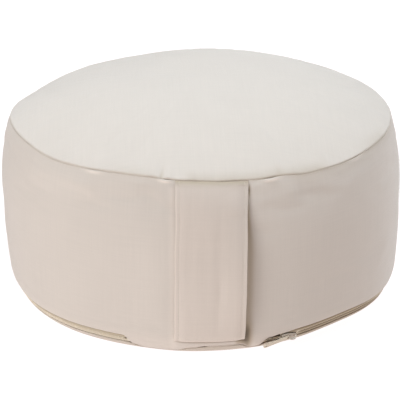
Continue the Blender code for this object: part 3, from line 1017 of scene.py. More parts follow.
@dataclass(frozen=True)
class HardFinish:
    """A painted metal or a plastic with small rubbed spots.

    Args:
        name: The material's name.
        colour: Its face, as linear red, green and blue.
        rubbed: Its colour where it is rubbed.
        roughness: Its roughness where it isn't.
        metallic: The rubbed spots' share of bare metal.
        fineness: Spots in a metre.
    """

    name: str
    colour: Colour
    rubbed: Colour
    roughness: float
    metallic: float = 0.0
    fineness: float = 900.0

    def material(self, shop: EffectShop) -> Material:
        """Builds the material from the shared effects."""
        material, nodes, shader = empty_material(self.name)
        place = nodes.add("TexCoord").outputs["Object"]
        edge = nodes.add("NewGeometry").outputs["Pointiness"]
        wear = use_group(nodes, shop.wear, Place=place, Edge=edge, Fineness=self.fineness)
        worn, grain = wear.outputs["Worn"], wear.outputs["Grain"]
        nodes.feed_all(
            shader, Base_Color=nodes.colour_mix(worn, (*self.colour, 1.0), (*self.rubbed, 1.0)),
            Roughness=nodes.sum_of("MULTIPLY_ADD", grain, 0.14, self.roughness - 0.07),
            Metallic=nodes.sum_of("MULTIPLY", worn, self.metallic), Normal=nodes.bump(grain, 0.3, 0.03 * MM),
        )
        return material


BARE_METAL = (0.432, 0.370, 0.285)
SIDE_CLOTH = ClothFinish("side_cotton")
TOP_CLOTH = ClothFinish("top_cotton")
BASE_CLOTH = ClothFinish("base_cotton")
# The strap is the same cotton as the side, in a redder copy of its colour: painted shade on the strap.
STRAP_CLOTH = ClothFinish("strap_cotton", (0.706, 0.591, 0.508))
STRIP_CLOTH = ClothFinish("strip_cotton")
# The zip tape's second colour is its painted shade colour, brown as the tape looks in shade.
ZIP_TAPE = ClothFinish(
    "zip_tape_cotton", (0.740, 0.640, 0.500), (0.387, 0.284, 0.179), Weave.TAPE,
    pitch=0.42 * MM, relief=0.08 * MM, streaks=0.10, sheen=0.08,
)
THREAD = ClothFinish(
    "sewing_thread", (0.720, 0.624, 0.530), weave=Weave.TAPE,
    pitch=0.20 * MM, relief=0.03 * MM, streaks=0.05, sheen=0.10,
)
COIL_NYLON = HardFinish("zip_nylon", (0.850, 0.735, 0.580), (0.760, 0.640, 0.480), 0.50)
SLIDER_PAINT = HardFinish("slider_paint", (0.520, 0.430, 0.345), BARE_METAL, 0.36, 0.9)
PULL_PAINT = HardFinish("pull_paint", (0.660, 0.548, 0.420), BARE_METAL, 0.40, 0.9)


def dress(piece: Piece, material: Material) -> None:
    """Gives a piece its material and its slot, and lets it ride on the cushion.

    Args:
        piece: The finished piece.
        material: Its material.
    """
    piece.data.materials.clear()
    piece.data.materials.append(material)
    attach(piece, BODY)
    LOG.info("%s: %d faces", piece.name, len(piece.data.polygons))


# ---- the filled side


@dataclass(frozen=True)
class StrapShadow:
    """The strap's shadow painted on the side, beside its free right edge.

    Distances to the right of that edge are in millimetres, and heights over the floor in metres. The
    painted shadow is narrow at the top and wider where the strap stands off. A dark corner of painted
    shade is left under its upper seam, and a wide soft one over its lower seam.
    """

    narrow: float = 1.8
    widening: float = 6.0
    widens_below: float = 0.130
    widens_over: float = 0.045
    behind: float = -9.0
    fade_in: float = 4.0
    fade_share: float = 0.7
    tall: Span = Span(0.004, 0.016, 0.137, 0.012)
    depth: float = 0.78
    darker: float = 0.35
    darkest_at: Spot = Spot(0.112, 0.016)
    corner: float = 1.8
    corner_across: Spot = Spot(0.6, 1.2)
    corner_height: Spot = Spot(0.1375, 0.004)
    foot: float = 0.9
    foot_across: Spot = Spot(0.6, 4.5)
    foot_height: Spot = Spot(0.021, 0.008)

    def at(self, away: Array, heights: Array) -> Array:
        """How deep the painted shadow is, by the distance from the edge and the height."""
        reach = self.narrow + self.widening * smooth((self.widens_below - heights) / self.widens_over)
        beside = Span(self.behind, self.fade_in, reach, self.fade_share * reach).at(away)
        depth = self.depth * (1.0 + self.darker * self.darkest_at.at(heights))
        corner = self.corner * self.corner_across.at(away) * self.corner_height.at(heights)
        foot = self.foot * self.foot_across.at(away) * self.foot_height.at(heights)
        return depth * beside * self.tall.at(heights) + corner + foot


@dataclass(frozen=True)
class SidePaintedLight:
    """The painted light and shade on the side's cloth near its seams.

    Azimuths are in degrees. Drops below the top seam and distances across are in millimetres.
    """

    # Painted highlights on the seam's lips, painted shade under the seam on the right, and painted light on
    # broad patches and beside the strap's left edge.
    lip_light: float = 0.52
    lip_drop: Spot = Spot(2.4, 1.2)
    seam_shade: float = 0.34
    seam_round: Span = Span(20.0, 6.0, 84.0, 12.0)
    seam_drop: Spot = Spot(0.0, 5.5)
    full_light: float = 0.08
    full_spots: tuple[tuple[Spot, Spot], ...] = (
        (Spot(-48.0, 11.0), Spot(17.0, 11.0)),
        (Spot(-17.0, 6.0), Spot(85.0, 42.0, 4.0)),
    )
    strap_light: float = 0.18
    strap_across: Spot = Spot(-29.0, 2.6)
    strap_tall: Span = Span(4.0, 4.0, 132.0, 8.0)

    def at(self, turned: Array, drops: Array, across: Array, lips: Array) -> Array:
        """The painted light and shade at each place.

        Args:
            turned: Azimuths from -180 to 180.
            drops: Distances below the top seam.
            across: Distances round the side from the front.
            lips: How far the seam's lips stand out, in millimetres.

        Returns:
            The painted shade, below 0 where painted light makes the cloth lighter.
        """
        lit = self.lip_light * self.lip_drop.at(drops) * np.minimum(lips, 1.0)
        full = self.full_light * sum(place.at(turned) * drop.at(drops) for place, drop in self.full_spots)
        beside = self.strap_light * self.strap_across.at(across) * self.strap_tall.at(drops)
        return self.seam_shade * self.seam_round.at(turned) * self.seam_drop.at(drops) - lit - full - beside


@dataclass
class SidePanel:
    """The side panel with the filling inside it, from the ditch of the top seam to the foot."""

    filling: PackedFilling
    shadow: StrapShadow = StrapShadow()
    tone: SidePaintedLight = SidePaintedLight()
    # The ditch's corners, each by how far in from the seam and how far below it.
    ditch: Sequence[tuple[float, float]] = ((3.8 * MM, 2.6 * MM), (3.2 * MM, 3.9 * MM), (2.2 * MM, 3.9 * MM))
    seam_band: float = 3.0 * MM
    crown_inset: float = 5.0 * MM
    lip_radius: float = 0.75 * MM
    lip_drop: float = 1.9 * MM
    lip_reach: float = 2.4 * MM
    lip_draw: float = 0.55 * MM
    # Rows close under the lip, where the cloth bends most, by how far they lie below it.
    lip_rows: Sequence[float] = (0.4, 0.9, 1.5, 2.3, 3.3, 4.5, 6.0)
    side_rows: int = 48
    edge_rows: int = 37
    free_below_seam: float = 12.0 * MM
    free_above_foot: float = 16.0 * MM
    hem_roll: float = 0.5 * MM
    slot_depths: Sequence[float] = (1.4 * MM, 2.2 * MM, 2.4 * MM)
    recess_depth: float = 2.8 * MM
    strap_seam: float = 20.6
    strap_seam_depth: float = 1.5 * MM
    strap_seam_reach: float = 0.9 * MM
    strap_seam_width: Spot = Spot(0.0, 26.5 * MM, 12.0)
    creases: Sequence[Crease] = (
        Crease(-45.0, 13.0, 66.0, 8.0, 86.0, 1.00),
        Crease(-36.0, 12.0, 24.0, 5.0, 66.0, 0.55),
        Crease(-33.0, 22.0, 34.0, 9.0, 50.0, -0.45),
        Crease(-16.0, 18.0, 26.0, 9.0, -25.0, -0.55),
        Crease(-22.0, 60.0, 70.0, 22.0, 10.0, 0.35),
        Crease(22.0, 12.0, 22.0, 5.0, -35.0, 0.60),
        Crease(30.0, 20.0, 32.0, 8.0, -48.0, -0.50),
        Crease(44.0, 16.0, 26.0, 7.0, 58.0, 0.45),
        Crease(60.0, 92.0, 30.0, 6.0, 60.0, 0.40),
        Crease(-84.0, 70.0, 44.0, 12.0, 82.0, -0.70),
        Crease(86.0, 66.0, 44.0, 10.0, 80.0, -0.70),
    )
    lips: Sequence[Pucker] = (
        Pucker(-33.5, 7.0, 2.6, 0.90),
        Pucker(-12.4, 5.0, 2.4, 1.00),
        Pucker(16.8, 6.0, 2.4, 1.20),
        Pucker(46.5, 8.0, 2.6, 0.90),
        Pucker(93.0, 22.0, 2.6, 0.60),
        Pucker(-104.0, 18.0, 2.6, 0.60),
    )

    def _profile(self, hem: float) -> tuple[Array, Array, Array]:
        """The section from the hidden crown to the middle of the foot.

        Args:
            hem: The angle of the folded lower edge.

        Returns:
            Its points, and for each of them how free the cloth is to bulge and how much painted shade it has.
        """
        slot = self.slot_depths[-1]
        rim = DRUM.base_edge_angle
        radii = np.linspace(0.02, DRUM.seam_radius - self.crown_inset, 8)
        lip_height = DRUM.seam_height - self.lip_drop
        centre = np.array((float(DRUM.side_radius(lip_height)) - self.lip_radius, lip_height))
        turns = np.radians(np.linspace(170.0, 0.0, 9))
        near = lip_height - np.array(self.lip_rows) * MM
        heights = np.concatenate((near, np.linspace(near[-1], DRUM.shoulder_height, self.side_rows)[1:]))
        # Each stretch of the section, with how free its cloth is and how much painted shade it has.
        sections = (
            (np.stack((radii, DRUM.crown_height(radii) - UNDER_CLOTH - GAP), axis=-1), 0.0, 0.0),
            (np.array((DRUM.seam_radius, DRUM.seam_height)) - np.array(self.ditch), 0.0, 1.0),
            (centre + self.lip_radius * np.stack((np.cos(turns), np.sin(turns)), axis=-1), 0.0,
             np.linspace(0.9, 0.0, len(turns)) ** 1.5),
            (np.stack((DRUM.side_radius(heights), heights), axis=-1), 1.0, 0.0),
            (DRUM.edge(np.linspace(0.0, hem - FOLD_TURN, self.edge_rows)[1:]), 0.0, 0.0),
            (folded_under(hem, FOLD_TURN, self.hem_roll), 0.0, 0.1),
            (DRUM.edge(np.linspace(hem - FOLD_TURN - 1.0, 1.0, 8), 2.0 * self.hem_roll), 0.0, 1.0),
            (DRUM.edge((0.2, 0.2, 1.0), self.slot_depths), 0.0, 1.0),
            (DRUM.edge(np.linspace(2.5, DRUM.hem_angle, 6), slot), 0.0, 1.0),
            (DRUM.edge(np.linspace(DRUM.hem_angle + 1.0, rim - 1.0, 4), self.recess_depth), 0.0, 1.0),
            (DRUM.edge(np.linspace(rim, 60.0, 6), slot), 0.0, 1.0),
            (DRUM.edge(np.linspace(64.0, 90.0, 5), UNDER_CLOTH), 0.0, 0.0),
            (np.array(((0.07, UNDER_CLOTH), (0.02, UNDER_CLOTH))), 0.0, 0.0),
        )
        points = np.concatenate([section for section, _, _ in sections])
        free = np.concatenate([np.full(len(section), share) for section, share, _ in sections])
        painted_shade = np.concatenate([np.broadcast_to(depth, len(section)) for section, _, depth in sections])
        free *= smooth((DRUM.seam_height - points[:, 1]) / self.free_below_seam)
        free *= smooth((points[:, 1] - 0.5 * DRUM.shoulder_height) / self.free_above_foot)
        return points, free, painted_shade

    def _lips(self, azimuths: Array) -> Array:
        """How far the seam's lips stand out at each azimuth."""
        return sum(lip.at(azimuths[None, :], np.zeros((1, 1))) for lip in self.lips)

    def _moved(self, profile: Array, free: Array, azimuths: Array) -> Array:
        """How far out each point of the side has moved from the even drum."""
        drops = (DRUM.seam_height - profile[:, 1])[:, None]
        moved = self.filling.on_side(azimuths, profile[:, 1])
        for mark in (*self.creases, *seeded_puckers(seed=31, count=52, rise=0.42)):
            moved = moved + mark.at(azimuths[None, :], np.maximum(drops, 0.0))
        outer = profile[:, :1] > DRUM.seam_radius - self.seam_band
        near = Spot(self.lip_drop, self.lip_reach).at(drops) * outer
        return moved * free[:, None] + near * (self._lips(azimuths) - self.lip_draw)

    def _seam_dip(self, sections: Array, azimuths: Array) -> Array:
        """How far the strap's lower seam draws the side in at each point."""
        height = float(DRUM.edge(self.strap_seam)[0, 1])
        outer = sections[..., 0] > DRUM.edge(self.strap_seam, self.hem_roll)[0, 0]
        near = Spot(height, self.strap_seam_reach).at(sections[..., 1])
        across = np.radians(around(azimuths)) * DRUM.shoulder_radius
        return self.strap_seam_depth * outer * near * self.strap_seam_width.at(across)[None, :]

    def _painted_shade_at(self, profile: Array, painted_shade: Array, azimuths: Array) -> Array:
        """The painted shade at each point, with the strap's painted shadow and the painted light and shade by
        the seams.
        """
        radii, heights = profile[:, :1], profile[:, 1:]
        turns = np.radians(azimuths)[None, :]
        edge = CarryStrap.width / 2.0 - CarryStrap.lean * (heights / DRUM.seam_height - 0.5)
        front = (np.cos(turns) > 0.0) * (radii > DRUM.foot_radius)
        shadow = front * self.shadow.at((radii * np.sin(turns) - edge) / MM, heights)
        shade_map = np.repeat(painted_shade[:, None], len(azimuths), axis=1)
        # Where the zip is open, the side's recess is painted near-black as shade.
        shade_map = shade_map + (shade_map >= 1.0) * (heights < DRUM.shoulder_height) * LowerEdge.opened.at(azimuths)
        shade_map = np.maximum(shade_map, shadow)
        turned = around(azimuths)[None, :]
        across = np.radians(turned) * radii / MM
        tone = self.tone.at(turned, (DRUM.seam_height - heights) / MM, across, self._lips(azimuths) / MM)
        return shade_map + tone * (radii > DRUM.seam_radius - self.seam_band) * (shade_map < 0.5)

    def build(self, shop: EffectShop) -> None:
        """Builds and dresses the filled side."""
        azimuths = all_round(0.4, 0.9, 24.0)
        profile, free, painted_shade = self._profile(DRUM.hem_angle)
        sections = np.stack([self._profile(hem)[0] for hem in HEM_LINE.at(azimuths)], axis=1)
        moved = self._moved(profile, free, azimuths) - self._seam_dip(sections, azimuths)
        loops = DRUM.turned(sections, azimuths, outward=moved)
        crown_middle = DRUM.crown_height(0.0) - UNDER_CLOTH - GAP
        ends = (np.array((0.0, 0.0, crown_middle)), np.array((0.0, 0.0, UNDER_CLOTH)))
        around_drum = np.radians(np.append(azimuths, 360.0)) * DRUM.bulge_radius
        cloth_map = np.stack(np.meshgrid(around_drum, -path_lengths(profile)), axis=-1)
        piece = tube_mesh("side_panel_cloth", loops, cloth_map, ends, self._painted_shade_at(profile, painted_shade, azimuths))
        dress(piece, SIDE_CLOTH.material(shop))
        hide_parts("filled_side_panel")


# ---- the round panels


@dataclass
class TopPanel:
    """The round top panel, domed by the filling and rolled down into the seam."""

    filling: PackedFilling
    roll_radius: float = 1.5 * MM
    roll_start: float = 1.2 * MM
    roll_end: float = -78.0
    roll_rows: int = 12
    plumpness: float = 0.25 * MM
    plump_power: float = 50.0
    plump_slope: float = 0.7
    seam_band: float = 3.0 * MM
    cut_width: float = 0.334
    # The painted shade in its dips and along its lip, which is deep in the front and at two more places.
    dip_shade: float = 0.45
    lip_shade: float = 0.42
    lip_reach: Spot = Spot(0.0, 5.5 * MM)
    lip_front: Span = Span(-9.0, 5.0, 38.0, 6.0)
    lip_spots: Sequence[tuple[float, Spot]] = ((0.5, Spot(-22.0, 7.0)), (0.8, Spot(60.0, 8.0)))
    puckers: Sequence[Pucker] = (
        Pucker(-13.5, 1.3, 7.0, -1.10),
        Pucker(-15.8, 2.2, 9.0, 0.45),
        Pucker(-11.4, 2.0, 8.0, 0.60),
        Pucker(19.5, 2.0, 8.0, -0.45),
        Pucker(24.0, 4.0, 10.0, 0.45),
    )

    def _profile(self) -> tuple[Array, Array]:
        """The section out along the crown, round the roll and back inside, and the painted shade on it."""
        start = DRUM.seam_radius - self.roll_start
        radii = np.concatenate((np.linspace(0.005, start - 0.012, 36), np.linspace(start - 0.0105, start, 8)))
        plump = self.plumpness * (1.0 - (radii / DRUM.seam_radius) ** self.plump_power)
        crown = np.stack((radii, DRUM.crown_height(radii) + plump), axis=-1)
        fall = DRUM.crown_rise * DRUM.crown_power + self.plumpness * self.plump_power * self.plump_slope
        lean = math.atan(DRUM.seam_radius / fall)
        turns = np.linspace(lean, math.radians(self.roll_end), self.roll_rows)
        spokes = np.stack((np.cos(turns), np.sin(turns)), axis=-1)
        centre = crown[-1] - self.roll_radius * spokes[0]
        roll = centre + self.roll_radius * spokes[1:]
        rolled_back = centre + (self.roll_radius - CLOTH) * spokes[:0:-3]
        profile = np.concatenate((crown, roll, rolled_back, crown[::-2] - (0.0, CLOTH)))
        painted_shade = np.zeros(len(profile))
        # Painted shade that deepens round the roll into the seam.
        painted_shade[len(crown) : len(crown) + len(roll)] = np.linspace(0.0, 1.0, len(roll)) ** 1.6
        return profile, painted_shade

    def _shade(self, azimuths: Array, from_seam: Array) -> Array:
        """The painted shade beside its seam, at each distance from it and azimuth."""
        turned = around(azimuths)[None, :]
        front = self.lip_front.at(turned) + sum(share * spot.at(turned) for share, spot in self.lip_spots)
        dips = sum(pucker.at(azimuths[None, :], from_seam) for pucker in self.puckers if pucker.rise < 0.0)
        return self.lip_shade * front * self.lip_reach.at(from_seam) - self.dip_shade * dips / MM

    def build(self, shop: EffectShop) -> None:
        """Builds and dresses the top panel."""
        azimuths = all_round(0.4, 0.9, 24.0)
        profile, painted_shade = self._profile()
        from_seam = np.clip(DRUM.seam_radius - profile[:, 0], 0.0, None)[:, None]
        raised = self.filling.on_crown(azimuths, profile[:, 0])
        for pucker in (*self.puckers, *seeded_puckers(seed=47, count=44, rise=0.30)):
            raised = raised + pucker.at(azimuths[None, :], from_seam)
        lowest = DRUM.seam_height - self.seam_band
        raised = raised * smooth((profile[:, 1:] - lowest) / self.seam_band)
        loops = DRUM.turned(profile, azimuths, upward=raised)
        painted_shade = np.maximum(painted_shade[:, None], self._shade(azimuths, from_seam))
        closed = np.concatenate((loops, loops[:, :1]), axis=1)
        ends = (loops[0].mean(axis=0), loops[-1].mean(axis=0))
        piece = tube_mesh("top_panel_cloth", loops, closed[..., :2], ends, painted_shade)
        dress(piece, TOP_CLOTH.material(shop))
        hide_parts("top_panel")


@dataclass
class BasePanel:
    """The round base panel, flat on the floor and turned up at its rim to meet the zip."""

    columns: int = 400
    edge_roll: float = 0.5 * MM
    cut_width: float = 0.336
    # The painted shade on the rim as it rises from the floor, and the deeper painted shade right of the
    # slider.
    rim_shade: float = 0.45
    rim_from: float = 0.5 * MM
    rim_over: float = 2.0 * MM
    right_shade: float = 1.08
    right_round: Span = Span(24.0, 3.0, 62.0, 16.0)
    right_over: float = 0.7 * MM

    def _profile(self, rim: float) -> Array:
        """The panel's section, from the middle of its outer face to the middle of its inner face."""
        flat = np.array([(radius, 0.0) for radius in np.linspace(0.01, 0.136, 8)])
        rise = DRUM.edge(np.linspace(90.0, rim + FOLD_TURN, 22))
        roll = folded_under(rim, -FOLD_TURN, self.edge_roll)
        inner = DRUM.edge(np.linspace(rim + 2.0 * FOLD_TURN, 90.0, 12), CLOTH)
        return np.concatenate((flat, rise, roll, inner, flat[::-2] + (0.0, CLOTH)))

    def build(self, shop: EffectShop) -> None:
        """Builds and dresses the base panel."""
        azimuths = np.arange(self.columns) * 360.0 / self.columns
        profile = np.stack([self._profile(rim) for rim in RIM_LINE.at(azimuths)], axis=1)
        loops = DRUM.turned(profile, azimuths)
        closed = np.concatenate((loops, loops[:, :1]), axis=1)
        ends = (np.zeros(3), np.array((0.0, 0.0, CLOTH)))
        heights = profile[..., 1]
        right = self.right_shade * self.right_round.at(azimuths)[None, :] * smooth(heights / self.right_over)
        painted_shade = np.maximum(self.rim_shade * smooth((heights - self.rim_from) / self.rim_over), right)
        piece = tube_mesh("base_panel_cloth", loops, closed[..., :2], ends, painted_shade)
        dress(piece, BASE_CLOTH.material(shop))
        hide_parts("base_panel")


# ---- the carry strap


@dataclass(frozen=True)
class StrapFold:
    """A soft upright fold in the strap.

    Args:
        across: Its middle, from -1 at the strap's left edge to 1 at its right.
        down: Its middle, from 0 at the strap's top to 1 at its foot.
        width: Its half width, in millimetres.
        length: Its half length, as a share of the strap's.
        rise: How far it stands out, or with a minus sign how deep it lies, in millimetres.
    """

    across: float
    down: float
    width: float
    length: float
    rise: float

    def at(self, across: Array, down: Array, half_strap: float) -> Array:
        """How far the cloth is moved out, at shares across and down a strap of this half width."""
        return (
            self.rise * MM * Spot(self.across, self.width * MM / half_strap).at(across)
            * Spot(self.down, self.length, 4.0).at(down)
        )


@dataclass
class CarryStrap:
    """The wide band of doubled cloth, sewn in above and below and standing off the side between."""

    width: float = 54.0 * MM
    thickness: float = 2.0 * MM
    edge_thickness: float = 0.9 * MM
    pressed_edge: float = 9.0 * MM
    lean: float = -1.5 * MM
    top: float = DRUM.seam_height - 1.3 * MM
    cut_length: float = 0.150
    # How far each edge stands off, how squarely it leaves the seams, and how squarely folds do.
    standoff_left: float = -0.8 * MM
    standoff_right: float = 5.4 * MM
    standoff_power: float = 2.6
    fold_power: float = 8.0
    # The right part leaves the upper seam later than the left, from this place across and over this much.
    late_from: float = -0.2
    late_over: float = 1.2
    rows: int = 150
    end_tuck: float = 1.3 * MM
    end_tuck_reach: float = 2.4 * MM
    end_press: float = 0.40
    end_press_reach: float = 1.8 * MM
    stitch_inset: float = 3.0 * MM
    stitch_length: float = 3.1 * MM
    stitch_share: float = 0.72
    stitch_sink: float = 0.14 * MM
    stitch_slip: float = 0.08 * MM
    thread: float = 0.42 * MM
    groove_front: float = 0.20 * MM
    groove_back: float = 0.12 * MM
    # The painted shade over the upper and the lower seam, and the painted light on the left fold and the
    # lower half.
    upper_shade: float = 2.7 * MM
    lower_shade: float = 1.3 * MM
    fold_light: float = 0.22
    low_light: float = 0.08
    low_from: float = 0.45
    low_over: float = 0.3
    # The edges' waver: its length in degrees of the wave, and where on the wave the right edge starts.
    waver: Wander = Wander(seed=7, height=0.20 * MM, waves=(3, 12))
    waver_length: float = 170.0
    waver_apart: float = 40.0
    folds: Sequence[StrapFold] = (
        StrapFold(0.24, 0.50, 4.2, 0.34, -0.38),
        StrapFold(0.27, 0.66, 3.0, 0.08, -0.50),
        StrapFold(0.02, 0.40, 5.0, 0.30, 0.35),
        StrapFold(0.66, 0.12, 8.0, 0.06, 0.90),
        StrapFold(-0.35, 0.55, 5.0, 0.34, 0.30),
        StrapFold(-0.62, 0.30, 5.0, 0.20, -0.25),
        StrapFold(0.22, 0.84, 3.0, 0.10, -0.30),
    )

    def _inner(self, sideways: Array, down: Array) -> Array:
        """Points of the inner face on the even drum, from places across in metres and down from 0 to 1."""
        half = self.width / 2.0
        across = sideways / half
        lowest = float(DRUM.edge(DRUM.hem_angle - 1.0)[0, 1])
        height = self.top + (lowest - self.top) * down
        start = np.where(across > 0, self.waver_apart, 0.0)
        edge_run = self.waver.at(down * self.waver_length + start) * across**2
        x = sideways + edge_run + self.lean * (down - 0.5)
        lying = np.sqrt(DRUM.side_radius(height) ** 2 - x**2) + GAP
        standoff = self.standoff_left + (self.standoff_right - self.standoff_left) * (across + 1.0) / 2.0
        from_middle = np.abs(2.0 * down - 1.0)
        share = 1.0 - from_middle**self.standoff_power
        late = smooth(np.minimum(2.0 * down, 1.0)) - share
        share = share + late * smooth((across - self.late_from) / self.late_over) * (down < 0.5)
        forward = lying + (DRUM.bulge_radius + standoff - lying) * share
        fold = sum(fold.at(across, down, half) for fold in self.folds)
        return np.stack((x, -forward - fold * (1.0 - from_middle**self.fold_power), height), axis=-1)

    def surface(self, sideways: Values, down: Array, out: Values) -> Array:
        """Points at a distance out from the inner face, settled with the drum.

        Args:
            sideways: Places across, in metres from the middle.
            down: Places down, from 0 to 1.
            out: Distances from the inner face.

        Returns:
            The points.
        """
        sideways, down, out = np.broadcast_arrays(sideways, down, out)
        step, drop = 0.2 * MM, 0.002
        right = self._inner(sideways + step, down) - self._inner(sideways - step, down)
        lower, upper = np.minimum(down + drop, 1.0), np.maximum(down - drop, 0.0)
        below = self._inner(sideways, lower) - self._inner(sideways, upper)
        outward = unit(np.cross(below, right))
        from_end = np.minimum(down, 1.0 - down) * self.top
        pressed = 1.0 - self.end_press * Spot(0.0, self.end_press_reach).at(from_end)
        points = self._inner(sideways, down) + outward * (out * pressed)[..., None]
        points[..., 1] += self.end_tuck * np.clip(1.0 - from_end / self.end_tuck_reach, 0.0, 1.0) ** 2
        return DRUM.settle(points)

    def _thickness_at(self, sideways: Values) -> Array:
        """The band's thickness across it, thinned towards its pressed edges."""
        inside = (self.width / 2.0 - np.abs(sideways)) / self.pressed_edge
        return self.edge_thickness + (self.thickness - self.edge_thickness) * smooth(inside)

    def _section(self) -> tuple[Array, Array]:
        """The band's closed section: places across and distances out, round from the front's left."""
        half = self.edge_thickness / 2.0
        flat = self.width / 2.0 - half
        seams = self.width / 2.0 - self.stitch_inset
        front = flat * np.sin(np.linspace(-math.pi / 2.0, math.pi / 2.0, 61))
        over = self._thickness_at(front) - self.groove_front * Spot(seams, 0.55 * MM).at(np.abs(front))
        turns = np.radians(np.linspace(90.0, -90.0, 10)[1:-1])
        right = (flat + half * np.cos(turns), half + half * np.sin(turns))
        back = flat * np.sin(np.linspace(math.pi / 2.0, -math.pi / 2.0, 37))
        under = self.groove_back * Spot(seams, 0.8 * MM).at(np.abs(back))
        across = np.concatenate((front, right[0], back, -right[0][::-1]))
        out = np.concatenate((over, right[1], under, right[1][::-1]))
        return across, out

    def _painted_shade_at(self, across: Array, down: Array) -> Array:
        """The painted shade by the seams at each row and column, and the painted light on the fold and lower
        half.
        """
        upper = Spot(0.0, self.upper_shade).at(down * self.top)
        # Painted shade over both seams, less where painted light lies.
        sewn = upper + Spot(0.0, self.lower_shade).at((1.0 - down) * self.top)
        from_left = (self.width / 2.0 + across) / self.edge_thickness
        light = self.fold_light * smooth((1.5 - from_left) / 0.7)[None, :]
        light = light + self.low_light * smooth((down - self.low_from) / self.low_over)[:, None]
        return sewn[:, None] - light * (1.0 - sewn[:, None])

    def build(self, shop: EffectShop) -> Piece:
        """Builds and dresses the strap."""
        across, out = self._section()
        ends = np.linspace(0.0, 1.0, self.rows)
        down = 0.6 * ends + 0.4 * smooth(ends)
        loops = self.surface(across[None, :], down[:, None], out[None, :])
        cloth_map = wrapped_map(loops, around_first=True)
        piece = tube_mesh("carry_strap_cloth", loops, cloth_map, painted_shade=self._painted_shade_at(across, down))
        dress(piece, STRAP_CLOTH.material(shop))
        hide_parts("carry_strap")
        return piece

    def stitches(self, shop: EffectShop) -> Piece:
        """The sewing thread along both folded edges."""
        draw = np.random.RandomState(19)
        count = int(self.top / self.stitch_length)
        half = self.stitch_share / 2.0 * self.stitch_length / self.top
        across = Vector((1.0, 0.0, 0.0))
        places = []
        for side in (-1.0, 1.0):
            for index in range(count):
                middle = (index + 0.5) / count
                slip = draw.uniform(-1.0, 1.0) * self.stitch_slip
                x = side * (self.width / 2.0 - self.stitch_inset) + slip
                level = float(self._thickness_at(x)) - self.stitch_sink
                ends = self.surface(x, np.array((middle - half, middle + half)), level)
                run = ends[1] - ends[0]
                outward = Vector(run).cross(across).normalized()
                thread = np.array((across, outward)) * self.thread
                places.append(np.array((ends.mean(axis=0), run, *thread)))
        piece = many("strap_stitches", places)
        dress(piece, THREAD.material(shop))
        return piece


# ---- the lower edge: strip, tapes and coil


